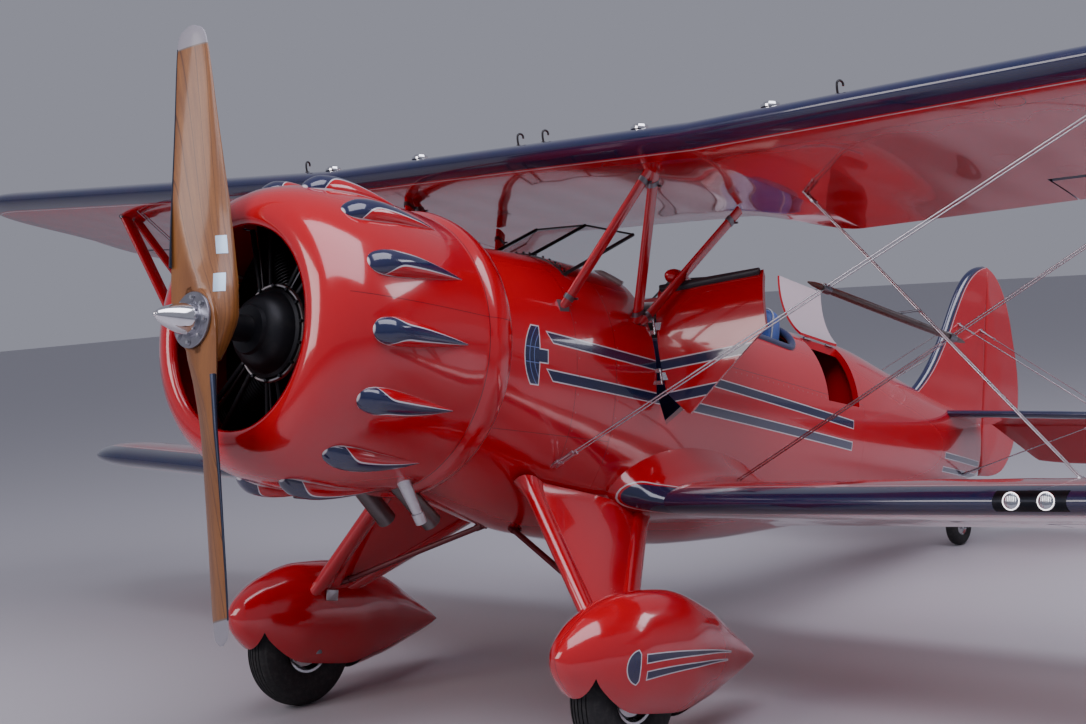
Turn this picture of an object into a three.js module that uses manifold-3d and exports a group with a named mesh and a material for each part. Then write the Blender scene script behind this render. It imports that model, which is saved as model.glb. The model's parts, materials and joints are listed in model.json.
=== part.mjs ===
// An open two-cockpit biplane with a cowled radial engine, parked on its main wheels and tail wheel.
// Millimetres. The finished group has +X to the nose, +Y to port, +Z up and its origin on the ground,
// under the middle of the whole machine. Inside, the airframe is drawn level: X runs forward from the
// propeller flange, Y to port and Z up from the thrust line. One group then tips it nose up.

import * as THREE from 'three';
import { mergeVertices } from 'three/addons/utils/BufferGeometryUtils.js';
import Module from 'manifold-3d';

const wasm = await Module();
wasm.setup();

// Driving dimensions
const SPINNER_TIP = 170;
const LENGTH = 7110;
const PROPELLER_DIAMETER = 2440;
const UPPER_SPAN = 9140;
const LOWER_SPAN = 8180;
const CHORD = 1450;
const UPPER_LEADING_EDGE = -1510;
const LOWER_LEADING_EDGE = -2150;
const UPPER_WING_HEIGHT = 940;
const LOWER_WING_HEIGHT = -545;
const CENTRE_SECTION_HALF = 1100;
const FRONT_SPAR = 280;
const REAR_SPAR = 950;
const TRACK = 1960;
const TYRE_RADIUS = 285;
const TYRE_HALF_WIDTH = 80;
const TAIL_WHEEL_RADIUS = 125;
const MAIN_AXLE = new THREE.Vector3(-1510, TRACK / 2, -1315);
const TAIL_AXLE_X = -6150;
const NOSE_UP = THREE.MathUtils.degToRad(11.8);
const WALL = 35;
const SEAT_GAP = 0.3;
const DOOR_OPEN = 80;
const HATCH_OPEN = 178;
const ELEVATOR_DROOP = 36;
const RUDDER_TRAILING_EDGE = SPINNER_TIP - LENGTH;

// Materials by finish
const finishes = {
  red: { color: 0xb01020, roughness: 0.18, metalness: 0.0 },
  wood: { color: 0x9a6230, roughness: 0.25, metalness: 0.0 },
  metal: { color: 0xb9bcc0, roughness: 0.25, metalness: 1.0 },
  steel: { color: 0x3b3a3c, roughness: 0.5, metalness: 0.8 },
  rubber: { color: 0x141414, roughness: 0.85, metalness: 0.0 },
  leather: { color: 0x1d3fa0, roughness: 0.5, metalness: 0.0 },
  black: { color: 0x151515, roughness: 0.6, metalness: 0.0 },
  glass: { color: 0xdfe8ee, roughness: 0.05, metalness: 0.0 },
};

// Closed meshes and booleans

function outwardIndex(positions, index) {
  let volume = 0;
  const at = (i) => new THREE.Vector3().fromArray(positions, 3 * i);
  for (let i = 0; i < index.length; i += 3) {
    const [a, b, c] = [at(index[i]), at(index[i + 1]), at(index[i + 2])];
    volume += a.dot(b.cross(c));
  }
  return volume > 0 ? index : index.reverse();
}

function closedGeometry(positions, index) {
  const geometry = new THREE.BufferGeometry();
  geometry.setAttribute('position', new THREE.Float32BufferAttribute(positions, 3));
  geometry.setIndex(outwardIndex(positions, index));
  return geometry;
}

// A solid through closed sections with equal point counts, each section star-shaped about its middle.
// A side face that crossed() picks by its number is split along its other diagonal.
function loft(sections, crossed = () => false) {
  const count = sections[0].length;
  const positions = sections.flat().flatMap((p) => [p.x, p.y, p.z]);
  const index = [];
  for (let s = 0; s < sections.length - 1; s += 1) {
    for (let k = 0; k < count; k += 1) {
      const a = s * count + k;
      const b = s * count + ((k + 1) % count);
      index.push(...(crossed(k)
        ? [a, b, b + count, a, b + count, a + count]
        : [a, b, a + count, b, b + count, a + count]));
    }
  }
  for (const [section, flip] of [[0, true], [sections.length - 1, false]]) {
    const middle = sections[section].reduce((sum, p) => sum.clone().add(p), new THREE.Vector3());
    middle.divideScalar(count);
    const hub = positions.length / 3;
    positions.push(middle.x, middle.y, middle.z);
    for (let k = 0; k < count; k += 1) {
      const a = section * count + k;
      const b = section * count + ((k + 1) % count);
      index.push(...(flip ? [b, a, hub] : [a, b, hub]));
    }
  }
  return solidOf(closedGeometry(positions, index));
}

function solidOf(geometry) {
  const bare = geometry.clone();
  bare.deleteAttribute('normal');
  bare.deleteAttribute('uv');
  const merged = mergeVertices(bare, 0.001);
  return new wasm.Manifold(new wasm.Mesh({
    numProp: 3,
    vertProperties: new Float32Array(merged.attributes.position.array),
    triVerts: new Uint32Array(merged.index.array),
  }));
}

function geometryOf(solid) {
  const mesh = solid.getMesh();
  const geometry = new THREE.BufferGeometry();
  geometry.setAttribute('position', new THREE.BufferAttribute(mesh.vertProperties, 3));
  geometry.setIndex(new THREE.BufferAttribute(mesh.triVerts, 1));
  geometry.computeVertexNormals();
  return geometry;
}

function join(...solids) {
  return solids.reduce((whole, next) => whole.add(next));
}

function cut(body, ...tools) {
  return tools.reduce((rest, tool) => rest.subtract(tool), body);
}

function box(x0, x1, y0, y1, z0, z1) {
  const geometry = new THREE.BoxGeometry(x1 - x0, y1 - y0, z1 - z0);
  geometry.translate((x0 + x1) / 2, (y0 + y1) / 2, (z0 + z1) / 2);
  return solidOf(geometry);
}

// A prism with its outline in the X-Z plane, between two Y values
function sideOutline(points, y0, y1) {
  const shape = new THREE.Shape(points.map(([x, z]) => new THREE.Vector2(x, z)));
  const geometry = new THREE.ExtrudeGeometry(shape, { depth: y1 - y0, bevelEnabled: false });
  geometry.rotateX(Math.PI / 2);
  geometry.translate(0, y1, 0);
  return solidOf(geometry);
}

// A prism with its outline in the X-Y plane, between two heights
function planOutline(shape, z0, z1) {
  const geometry = new THREE.ExtrudeGeometry(shape, {
    depth: z1 - z0, bevelEnabled: false, curveSegments: 4 });
  geometry.translate(0, 0, z0);
  return solidOf(geometry);
}

// A rod between two points
function rod(from, to, radius, sides = 12) {
  const run = to.clone().sub(from);
  const geometry = new THREE.CylinderGeometry(radius, radius, run.length(), sides);
  geometry.applyQuaternion(new THREE.Quaternion().setFromUnitVectors(
    new THREE.Vector3(0, 1, 0), run.clone().normalize()));
  geometry.translate(...from.clone().add(to).divideScalar(2).toArray());
  return solidOf(geometry);
}

// A streamlined strut, its chord in the fore-and-aft direction, with eight-sided sections
function strut(from, to, chord, thickness) {
  const along = to.clone().sub(from).normalize();
  const across = new THREE.Vector3(1, 0, 0).cross(along).normalize();
  const fore = along.clone().cross(across).normalize().multiplyScalar(-1);
  if (fore.x < 0) fore.negate();
  const outline = [[0.5, 0], [0.35, 0.36], [0.1, 0.5], [-0.2, 0.36], [-0.5, 0], [-0.2, -0.36], [0.1, -0.5],
    [0.35, -0.36]];
  const section = (at) => outline.map(([c, t]) => at.clone()
    .addScaledVector(fore, c * chord).addScaledVector(across, t * thickness));
  return loft([section(from), section(to)]);
}

// A body turned about the thrust line's direction. Profile columns: X, radius.
function turned(profile, segments, turn = 0) {
  const geometry = new THREE.LatheGeometry(profile.map(([x, r]) => new THREE.Vector2(r, x)), segments);
  geometry.rotateY(turn);
  geometry.rotateZ(-Math.PI / 2);
  return solidOf(closedFromLathe(geometry));
}

// A body turned about a Y axis through the origin. Profile columns: Y, radius.
function turnedAcross(profile, segments, turn = 0) {
  const geometry = new THREE.LatheGeometry(profile.map(([y, r]) => new THREE.Vector2(r, y)), segments);
  geometry.rotateY(turn);
  return solidOf(closedFromLathe(geometry));
}

// Merges the seam and drops the triangles that shrink to nothing on the axis
function closedFromLathe(geometry) {
  const bare = geometry.clone();
  bare.deleteAttribute('normal');
  bare.deleteAttribute('uv');
  const merged = mergeVertices(bare, 0.001);
  const old = merged.index.array;
  const index = [];
  for (let i = 0; i < old.length; i += 3) {
    const [a, b, c] = [old[i], old[i + 1], old[i + 2]];
    if (a !== b && b !== c && a !== c) index.push(a, b, c);
  }
  return closedGeometry(Array.from(merged.attributes.position.array), index);
}

function mirrored(solid) {
  return solid.mirror([0, 1, 0]);
}

// Fuselage skin. Stations by column: X, half width, top, bottom, height of the widest point
const stations = [
  [-1120, 500, 500, -560, -20],
  [-1500, 520, 522, -655, -50],
  [-1900, 530, 537, -730, -70],
  [-2300, 530, 535, -755, -80],
  [-2800, 505, 508, -745, -80],
  [-3300, 470, 478, -705, -80],
  [-3800, 425, 470, -640, -75],
  [-4300, 370, 462, -568, -65],
  [-5000, 275, 366, -450, -40],
  [-5700, 165, 262, -325, -10],
  [-6330, 45, 205, -180, 10],
];
const SKIN_POWER = 2.2;
const SKIN_POINTS = 28;
const COCKPIT_FRONT = -1900;
const COCKPIT_REAR = -4300;

function stationAt(x) {
  const next = Math.max(1, stations.findIndex((s) => s[0] <= x));
  const [before, after] = [stations[next - 1], stations[next]];
  const part = (x - before[0]) / (after[0] - before[0]);
  return before.map((value, column) => THREE.MathUtils.lerp(value, after[column], part));
}

function hoop(station, inset) {
  const [x, halfWidth, top, bottom, middle] = station;
  const points = [];
  for (let k = 0; k < SKIN_POINTS; k += 1) {
    const angle = (2 * Math.PI * k) / SKIN_POINTS;
    const c = Math.cos(angle);
    const s = Math.sin(angle);
    const reach = (s > 0 ? top - middle : middle - bottom) - inset;
    points.push(new THREE.Vector3(
      x,
      (halfWidth - inset) * Math.sign(c) * Math.abs(c) ** (2 / SKIN_POWER),
      middle + reach * Math.sign(s) * Math.abs(s) ** (2 / SKIN_POWER),
    ));
  }
  return points;
}

function fuselageSolid(front, rear, inset) {
  const between = stations.filter(([x]) => x < front && x > rear);
  const hoops = [stationAt(front), ...between, stationAt(rear)].map((s) => hoop(s, inset));
  return loft(hoops, (k) => k >= SKIN_POINTS / 4 && k < (3 * SKIN_POINTS) / 4);
}

// The skin's half width at a height
function skinWidth(x, z) {
  const [, halfWidth, top, bottom, middle] = stationAt(x);
  const reach = z > middle ? top - middle : middle - bottom;
  return halfWidth * (1 - Math.abs((z - middle) / reach) ** SKIN_POWER) ** (1 / SKIN_POWER);
}

// The skin's height at a distance out from the middle, on top
function skinTop(x, y) {
  const [, halfWidth, top, , middle] = stationAt(x);
  return middle + (top - middle) * (1 - Math.abs(y / halfWidth) ** SKIN_POWER) ** (1 / SKIN_POWER);
}

const wholeSkin = fuselageSolid(-1120, -6330, -SEAT_GAP - 0.1);
const cavity = fuselageSolid(COCKPIT_FRONT + 1, COCKPIT_REAR - 1, WALL);
const cabinShell = cut(fuselageSolid(COCKPIT_FRONT - SEAT_GAP, COCKPIT_REAR + SEAT_GAP, 0), cavity);

// Cockpit openings in the deck, as rounded plan outlines. Columns: front X, rear X, half width, corner
const openings = [
  [-2150, -2875, 350, 150],
  [-3075, -3720, 325, 170],
];

function roundedPlan([front, rear, half, corner]) {
  const shape = new THREE.Shape();
  shape.moveTo(front - corner, half);
  shape.absarc(rear + corner, half - corner, corner, Math.PI / 2, Math.PI, false);
  shape.absarc(rear + corner, corner - half, corner, Math.PI, 1.5 * Math.PI, false);
  shape.absarc(front - corner, corner - half, corner, 1.5 * Math.PI, 2 * Math.PI, false);
  shape.absarc(front - corner, half - corner, corner, 0, Math.PI / 2, false);
  return shape;
}

const deckCuts = openings.map((opening) => planOutline(roundedPlan(opening), 200, 700));

// Passenger door, port side. Outline columns: X, Z. Its hinge leans inward with the skin.
const DOOR_GAP = 6;
const doorOutline = [[-2214, 700], [-2214, -58], [-2295, -178], [-2738, 118], [-2744, 700]];
const doorHole = [[-2196, 700], [-2196, -56], [-2287, -192], [-2745, 114], [-2751, 700]];
const DOOR_HINGE_X = -2210;
const doorHinge = [
  new THREE.Vector3(DOOR_HINGE_X, 557, -50),
  new THREE.Vector3(DOOR_HINGE_X, 463, 330),
];
const doorHingeHeights = [20, 250];

// Baggage hatch behind the rear cockpit, port side, hinged along its upper edge
const HATCH_FRONT = -3860;
const HATCH_REAR = -4230;
const HATCH_TOP_Y = 205;
const HATCH_SILL = 80;
const HATCH_HINGE_LIFT = 9;
const hatchHinge = [HATCH_FRONT, HATCH_REAR].map((x) => new THREE.Vector3(
  x, HATCH_TOP_Y, skinTop(x, HATCH_TOP_Y) + HATCH_HINGE_LIFT));

const hatchBlock = (grow) => box(
  HATCH_REAR - grow, HATCH_FRONT + grow, HATCH_TOP_Y - grow, 700, HATCH_SILL - grow, 700);

// Knuckles on a hinge line. The moving one sits between two fixed ones, end to end.
const KNUCKLE_RADIUS = 7;
const KNUCKLE_LENGTH = 36;
const FIXED_KNUCKLE = 18;

function knuckles(hinge, fractions, arm) {
  const [from, to] = hinge;
  const along = to.clone().sub(from).normalize();
  const piece = (at, start, end, side) => {
    const a = at.clone().addScaledVector(along, start);
    const b = at.clone().addScaledVector(along, end);
    const reach = arm[side].clone().projectOnPlane(along);
    const leaf = [a, b, b.clone().add(reach), a.clone().add(reach)];
    return join(rod(a, b, KNUCKLE_RADIUS, 8), plate(leaf, -2.5, 2.5));
  };
  const moving = [];
  const fixed = [];
  for (const fraction of fractions) {
    const at = from.clone().lerp(to, fraction);
    const half = KNUCKLE_LENGTH / 2;
    moving.push(piece(at, -half, half, 'moving'));
    fixed.push(piece(at, -half - SEAT_GAP - FIXED_KNUCKLE, -half - SEAT_GAP, 'fixed'));
    fixed.push(piece(at, half + SEAT_GAP, half + SEAT_GAP + FIXED_KNUCKLE, 'fixed'));
  }
  return { moving: join(...moving), fixed: join(...fixed) };
}

// A flat plate on four corners, between two offsets along its normal
function plate(corners, low, high) {
  const [a, b, c] = corners;
  const normal = b.clone().sub(a).cross(c.clone().sub(b)).normalize();
  const shifted = (offset) => corners.map((p) => p.clone().addScaledVector(normal, offset));
  return loft([shifted(low), shifted(high)]);
}

const doorKnuckles = knuckles(
  doorHinge,
  doorHingeHeights.map((z) => (z - doorHinge[0].z) / (doorHinge[1].z - doorHinge[0].z)),
  { moving: new THREE.Vector3(-30, -26, 0), fixed: new THREE.Vector3(40, -26, 0) },
);
const hatchKnuckles = knuckles(
  hatchHinge, [0.2, 0.8], { moving: new THREE.Vector3(0, 30, -38), fixed: new THREE.Vector3(0, -40, -14) });

// Cabin panels
const SILL_LINE = 230;
const CHINE_LINE = -480;
const openShell = cut(cabinShell, sideOutline(doorHole, 200, 700), hatchBlock(DOOR_GAP), ...deckCuts);
const deckBlock = box(-4400, -1800, -700, 700, SILL_LINE, 700);
const sideBlock = box(-4400, -1800, SEAT_GAP, 700, CHINE_LINE + SEAT_GAP, SILL_LINE - SEAT_GAP);
const bellyBlock = box(-4400, -1800, -700, 700, -900, CHINE_LINE);
const deck = join(
  openShell.intersect(deckBlock),
  cut(hatchKnuckles.fixed, cavity),
);
const leftSide = join(openShell.intersect(sideBlock), doorKnuckles.fixed.intersect(sideBlock));
const rightSide = mirrored(cut(cabinShell, ...deckCuts).intersect(sideBlock));
const belly = openShell.intersect(bellyBlock);
const doorPanel = join(
  cabinShell.intersect(sideOutline(doorOutline, 200, 700)).subtract(deckCuts[0]),
  doorKnuckles.moving,
);
const hatchPanel = join(cabinShell.intersect(hatchBlock(0)), hatchKnuckles.moving);

// Interior
const FLOOR_TOP = -400;
const inside = fuselageSolid(COCKPIT_FRONT, COCKPIT_REAR + 1, WALL + SEAT_GAP);
const crossPlate = (x, thickness, z0, z1) => inside.intersect(box(x - thickness, x, -600, 600, z0, z1));
const cockpitFloor = inside.intersect(box(-4298, -1900.6, -600, 600, FLOOR_TOP - 20, FLOOR_TOP));
const interior = {
  front_instrument_panel: crossPlate(-2070, 20, 60, 460),
  cockpit_bulkhead: crossPlate(-2950, 20, FLOOR_TOP + SEAT_GAP, 440),
  baggage_bulkhead: crossPlate(-3780, 18, FLOOR_TOP + SEAT_GAP, 430),
};

// Seats. Columns: name, front X, rear X, half width, bottom, top, lean of the top edge
const seats = [
  ['front_seat_cushion', -2420, -2820, 380, FLOOR_TOP + SEAT_GAP, -210, 0],
  ['front_seat_back', -2690, -2805, 310, -210 + SEAT_GAP, 290, -50],
  ['rear_seat_cushion', -3240, -3660, 280, FLOOR_TOP + SEAT_GAP, -180, 0],
  ['rear_seat_back', -3535, -3645, 215, -180 + SEAT_GAP, 560, -65],
];

function cushion(front, rear, half, bottom, top, lean) {
  const EDGE = 25;
  const ring = (z, shrink, shift) => [
    [front - shrink, half - EDGE], [front - EDGE, half - shrink], [rear + EDGE, half - shrink],
    [rear + shrink, half - EDGE], [rear + shrink, EDGE - half], [rear + EDGE, shrink - half],
    [front - EDGE, shrink - half], [front - shrink, EDGE - half],
  ].map(([x, y]) => new THREE.Vector3(x + shift, y, z));
  return loft([ring(bottom, 0, 0), ring(top - EDGE, 0, lean * 0.95), ring(top, EDGE / 2, lean)]);
}

// Windshields: three flat panes ahead of each opening, raked well back.
// Columns: name, front X, half width, height above the deck, sweep of the side panes, rake
const windshields = [
  ['front_windshield', -1740, 335, 185, 190, 1.8],
  ['rear_windshield', -2960, 300, 140, 170, 1.2],
];

function windshield(front, half, height, sweep, rake) {
  const PANE = 9;
  const plan = [[-sweep, half], [0, half * 0.45], [0, -half * 0.45], [-sweep, -half], [-sweep - PANE, -half],
    [-PANE, -half * 0.45 + 2], [-PANE, half * 0.45 - 2], [-sweep - PANE, half]];
  const base = 240;
  const top = skinTop(front, 0) + height;
  const shape = new THREE.Shape(plan.map(([x, y]) => new THREE.Vector2(x, y)));
  const geometry = new THREE.ExtrudeGeometry(shape, { depth: top - base, bevelEnabled: false });
  const at = geometry.attributes.position;
  for (let i = 0; i < at.count; i += 1) {
    const rise = base + at.getZ(i) - skinTop(front, 0);
    at.setXYZ(i, front + at.getX(i) - rake * rise, at.getY(i), base + at.getZ(i));
  }
  return cut(solidOf(geometry), wholeSkin);
}

// Wings. The drop is how far a section falls from its leading edge to its trailing edge, per chord.
const wings = {
  upper: {
    lead: UPPER_LEADING_EDGE, height: UPPER_WING_HEIGHT, root: CENTRE_SECTION_HALF,
    dihedral: Math.tan(THREE.MathUtils.degToRad(2.7)), drop: 0.1 },
  lower: {
    lead: LOWER_LEADING_EDGE, height: LOWER_WING_HEIGHT, root: 640,
    dihedral: Math.tan(THREE.MathUtils.degToRad(2.2)), drop: 0.03 },
};

// The height of a wing's chord line at a place
function chordLine(wing, x, y) {
  return wing.height + Math.max(0, Math.abs(y) - wing.root) * wing.dihedral - wing.drop * (wing.lead - x);
}

// One section outline, set back from the leading edge by a part of the chord
const SECTION_STEPS = 8;
const THICKNESS = 0.12;
const CAMBER = 0.035;

function wingSection(wing, y, back, part, lift) {
  const chord = part * CHORD;
  const upper = [];
  const lower = [];
  for (let k = 0; k <= SECTION_STEPS; k += 1) {
    const t = 0.5 - 0.5 * Math.cos((Math.PI * k) / SECTION_STEPS);
    const half = 5 * THICKNESS * (0.2969 * Math.sqrt(t) - 0.126 * t - 0.3516 * t ** 2 + 0.2843 * t ** 3
      - 0.1 * t ** 4);
    const bend = 4 * CAMBER * t * (1 - t);
    const x = wing.lead - back * CHORD - t * chord;
    upper.push(new THREE.Vector3(x, y, chordLine(wing, x, y) + (bend + half) * chord + lift));
    lower.push(new THREE.Vector3(x, y, chordLine(wing, x, y) + (bend - half) * chord + lift));
  }
  return [...upper, ...lower.slice(1).reverse()];
}

// Rounded tip by column: distance in from the tip, part of the chord, part set back at the leading edge
const tipShape = [
  [600, 1.0, 0.0],
  [280, 0.9, 0.04],
  [80, 0.64, 0.17],
  [0, 0.32, 0.33],
];

function wingPanel(wing, root, tip) {
  const sections = [wingSection(wing, root, 0, 1, 0)];
  for (const [inset, part, back] of tipShape) {
    sections.push(wingSection(wing, tip - inset, back, part, (1 - part) * CAMBER * CHORD));
  }
  return loft(sections);
}

// Ailerons on both wings. The hinge line runs in the middle of a slot, and the nose is a blunt wedge.
const AILERON_CHORD = 300;
const SLOT = 20;
const ailerons = [
  { wing: wings.upper, root: 2150, end: 4180, brackets: [0.15, 0.85] },
  { wing: wings.lower, root: 1900, end: 3720, brackets: [0.15, 0.85] },
];

function hingedFlap(surface, hingeX, hingeHeight, from, to, endGap) {
  const wedge = (grow) => {
    const section = (y) => [
      [SLOT / 2 * grow - (1 - grow) * SLOT / 2, 14], [-50, 90], [-900, 90],
      [-900, -90], [-50, -90], [SLOT / 2 * grow - (1 - grow) * SLOT / 2, -14],
    ].map(([x, z]) => new THREE.Vector3(hingeX + x, y, hingeHeight(y) + z));
    return loft([section(from + endGap), section(to - endGap)]);
  };
  const hole = (() => {
    const section = (y) => [[SLOT / 2, 120], [-900, 120], [-900, -120], [SLOT / 2, -120]]
      .map(([x, z]) => new THREE.Vector3(hingeX + x, y, hingeHeight(y) + z));
    return loft([section(from), section(to)]);
  })();
  return { flap: surface.intersect(wedge(0)), rest: surface.subtract(hole) };
}

function surfaceHinge(hingeX, hingeHeight, from, to, fractions) {
  const hinge = [from, to].map((y) => new THREE.Vector3(hingeX, y, hingeHeight(y)));
  const arms = { moving: new THREE.Vector3(-26, 0, 0), fixed: new THREE.Vector3(24, 0, 0) };
  return knuckles(hinge, fractions, arms);
}

function wingWithAileron(panel, { wing, root, end, brackets }) {
  const hingeX = wing.lead - CHORD + AILERON_CHORD;
  const chordPart = 1 - AILERON_CHORD / CHORD;
  const midLine = 4 * CAMBER * chordPart * (1 - chordPart) * CHORD;
  const hingeHeight = (y) => chordLine(wing, hingeX, y) + midLine;
  const cutOut = hingedFlap(panel, hingeX, hingeHeight, root, end, 8);
  const pins = surfaceHinge(hingeX, hingeHeight, root, end, brackets);
  return { wing: join(cutOut.rest, pins.fixed), flap: join(cutOut.flap, pins.moving) };
}

// The centre section's trailing edge is cut away over the cockpit
const CUT_OUT_FRONT = -2720;
const cutOutShape = (() => {
  const shape = new THREE.Shape();
  shape.moveTo(-3300, 1040);
  shape.lineTo(-3300, -1040);
  shape.lineTo(-2990, -1040);
  shape.bezierCurveTo(-2860, -1020, CUT_OUT_FRONT, -880, CUT_OUT_FRONT, -620);
  shape.lineTo(CUT_OUT_FRONT, 620);
  shape.bezierCurveTo(CUT_OUT_FRONT, 880, -2860, 1020, -2990, 1040);
  return shape;
})();
const centreSection = cut(
  loft([-CENTRE_SECTION_HALF, CENTRE_SECTION_HALF].map((y) => wingSection(wings.upper, y, 0, 1, 0))),
  planOutline(cutOutShape, 500, 1200));
const upperPanel = wingPanel(wings.upper, CENTRE_SECTION_HALF + SEAT_GAP, UPPER_SPAN / 2);
const lowerPanel = wingPanel(wings.lower, wings.lower.root, LOWER_SPAN / 2);
const upper = wingWithAileron(upperPanel, ailerons[0]);
const lower = wingWithAileron(lowerPanel, ailerons[1]);

// Wing root fillet: the wing's section, swelling as it meets the fuselage side
// Columns: distance out, part of the chord, rise of the section's middle, extra thickness
const filletStages = [
  [430, 1.2, 60, 1.75],
  [520, 1.12, 35, 1.4],
  [580, 1.05, 15, 1.18],
  [wings.lower.root - SEAT_GAP, 1.0, 0, 1.0],
];
const fillet = cut(loft(filletStages.map(([y, part, rise, swell]) => {
  const flat = wingSection(wings.lower, y, (1 - part) * 0.45, part, 0);
  const middle = LOWER_WING_HEIGHT + CAMBER * CHORD;
  return flat.map((p) => new THREE.Vector3(p.x, p.y, middle + rise + (p.z - middle) * swell));
})), wholeSkin);

// Cabane struts, an N on each side. Columns: foot, head
const spar = {
  upperFront: UPPER_LEADING_EDGE - FRONT_SPAR,
  upperRear: UPPER_LEADING_EDGE - REAR_SPAR,
  lowerFront: LOWER_LEADING_EDGE - FRONT_SPAR,
  lowerRear: LOWER_LEADING_EDGE - REAR_SPAR,
};
const CABANE_HEAD_Y = 750;
const CABANE_FOOT_Y = 455;
const WING_REACH = 30;
const cabaneHead = (x) => new THREE.Vector3(x, CABANE_HEAD_Y, chordLine(wings.upper, x, CABANE_HEAD_Y) - 28);
const cabaneFoot = (x) => new THREE.Vector3(x, CABANE_FOOT_Y, 250);
const cabaneLines = [
  [cabaneFoot(-1600), cabaneHead(spar.upperFront), 62, 26],
  [cabaneFoot(-2120), cabaneHead(spar.upperFront - 20), 62, 26],
  [cabaneFoot(-2145), cabaneHead(spar.upperRear), 62, 26],
];
const cabane = cut(
  join(...cabaneLines.map(([foot, head, chord, thick]) => strut(foot, head, chord, thick))),
  wholeSkin, centreSection.translate([0, 0, -SEAT_GAP]));

// Interplane N struts, leaning outward
const STRUT_TOP_Y = 3200;
const STRUT_FOOT_Y = 2640;
const inUpper = (x, y) => new THREE.Vector3(x, y, chordLine(wings.upper, x, y) + WING_REACH);
const inLower = (x, y) => new THREE.Vector3(x, y, chordLine(wings.lower, x, y) + WING_REACH);
const strutHead = (x) => inUpper(x, STRUT_TOP_Y);
const strutFoot = (x) => inLower(x, STRUT_FOOT_Y);
const interplane = cut(
  join(
    strut(strutFoot(spar.lowerFront), strutHead(spar.upperFront), 85, 34),
    strut(strutFoot(spar.lowerRear), strutHead(spar.upperRear), 85, 34),
    strut(strutFoot(spar.lowerRear + 40), strutHead(spar.upperFront - 40), 66, 26),
  ),
  upper.wing.translate([0, 0, -SEAT_GAP]), lower.wing.translate([0, 0, SEAT_GAP]));

// Main stays of one side, tied together by the javelin bar where they cross
const WIRE_RADIUS = 5;
const JAVELIN_RADIUS = 13;
const WIRE_INSET = 150;
const LANDING_WIRE_Y = 1125;
const flyingFront = [
  new THREE.Vector3(-1630, 430, -430),
  inUpper(spar.upperFront + 60, STRUT_TOP_Y - WIRE_INSET),
];
const flyingRear = [
  new THREE.Vector3(-2800, 470, -480),
  inUpper(spar.upperRear - 60, STRUT_TOP_Y - WIRE_INSET),
];
const landing = [
  inUpper(spar.upperRear + 120, LANDING_WIRE_Y),
  inLower(spar.lowerFront - 90, STRUT_FOOT_Y - WIRE_INSET),
];
const CROSSING = 0.49;
const javelinEnds = [
  flyingFront[0].clone().lerp(flyingFront[1], CROSSING),
  flyingRear[0].clone().lerp(flyingRear[1], CROSSING),
];
const javelinRun = javelinEnds[1].clone().sub(javelinEnds[0]).normalize();

// The point of the landing wire that lies beside the javelin, so that both meet there
function landingThrough(line) {
  const along = line[1].clone().sub(line[0]);
  const share = (javelinEnds[0].y - line[0].y) / along.y;
  return line[0].clone().addScaledVector(along, share);
}

const tieFrom = landingThrough(landing);
const rigging = cut(
  join(
    rod(...flyingFront, WIRE_RADIUS, 6),
    rod(...flyingRear, WIRE_RADIUS, 6),
    rod(...landing, WIRE_RADIUS, 6),
    rod(
      javelinEnds[0].clone().addScaledVector(javelinRun, -120),
      javelinEnds[1].clone().addScaledVector(javelinRun, 120),
      JAVELIN_RADIUS, 8),
    rod(tieFrom, javelinEnds[0].clone().lerp(javelinEnds[1], 0.5), WIRE_RADIUS, 6),
  ),
  wholeSkin, centreSection.translate([0, 0, -SEAT_GAP]), upper.wing.translate([0, 0, -SEAT_GAP]),
  lower.wing.translate([0, 0, SEAT_GAP]), fillet.translate([0, 0, SEAT_GAP]));

// Cowling. Profile columns: X, radius. It runs from the lip over the outside and back inside.
const COWL_SEGMENTS = 28;
const cowlProfile = [
  [-225, 400], [-200, 432], [-225, 505], [-310, 570], [-450, 604], [-620, 612], [-1060, 594],
  [-1150, 602], [-1150, 590], [-1060, 582], [-680, 598], [-590, 598], [-275, 500],
];
const cowlRing = turned([...cowlProfile, cowlProfile[0]], COWL_SEGMENTS);

// Blisters over the rocker covers. Columns: X, half width, height over the skin, skin radius there
const BLISTERS = 14;
const blisterStages = [
  [-436, 24, 14, 596],
  [-500, 58, 46, 603],
  [-640, 44, 36, 605],
  [-850, 6, 4, 600],
];

function blister(angle) {
  const SIDES = 6;
  const sections = blisterStages.map(([x, half, height, radius]) => {
    const points = [];
    for (let k = 0; k < SIDES; k += 1) {
      const a = (2 * Math.PI * k) / SIDES;
      const side = half * Math.cos(a);
      const sunk = 3 + Math.abs(side) * Math.tan(Math.PI / COWL_SEGMENTS);
      const out = radius - sunk + height * Math.max(Math.sin(a), 0);
      points.push(new THREE.Vector3(
        x, out * Math.sin(angle) + side * Math.cos(angle), out * Math.cos(angle) - side * Math.sin(angle)));
    }
    return points;
  });
  return loft(sections);
}

// Exhaust outlets under the cowling's rear
const EXHAUST_RADIUS = 42;
const exhaustSides = [120, -120];
const exhaustLines = exhaustSides.map((y) => [
  new THREE.Vector3(-905, y, -470), new THREE.Vector3(-1215, y * 1.15, -700)]);
const exhaustStart = (y) => [
  new THREE.Vector3(-860 - SEAT_GAP, y, -470), new THREE.Vector3(-925, y, -470)];
const exhaust = join(
  ...exhaustLines.map((line) => rod(...line, EXHAUST_RADIUS, 12)),
  ...exhaustSides.map((y) => rod(...exhaustStart(y), EXHAUST_RADIUS, 12)),
  rod(new THREE.Vector3(-900, 120, -470), new THREE.Vector3(-900, -120, -470), 30, 10),
);
const exhaustSlots = exhaustLines.map((line) => rod(...line, EXHAUST_RADIUS + 12, 12));
const blisterAngles = Array.from({ length: BLISTERS }, (_, k) => (2 * Math.PI * (k + 0.5)) / BLISTERS);
const cowling = cut(join(cowlRing, ...blisterAngles.map(blister)), ...exhaustSlots);
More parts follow.
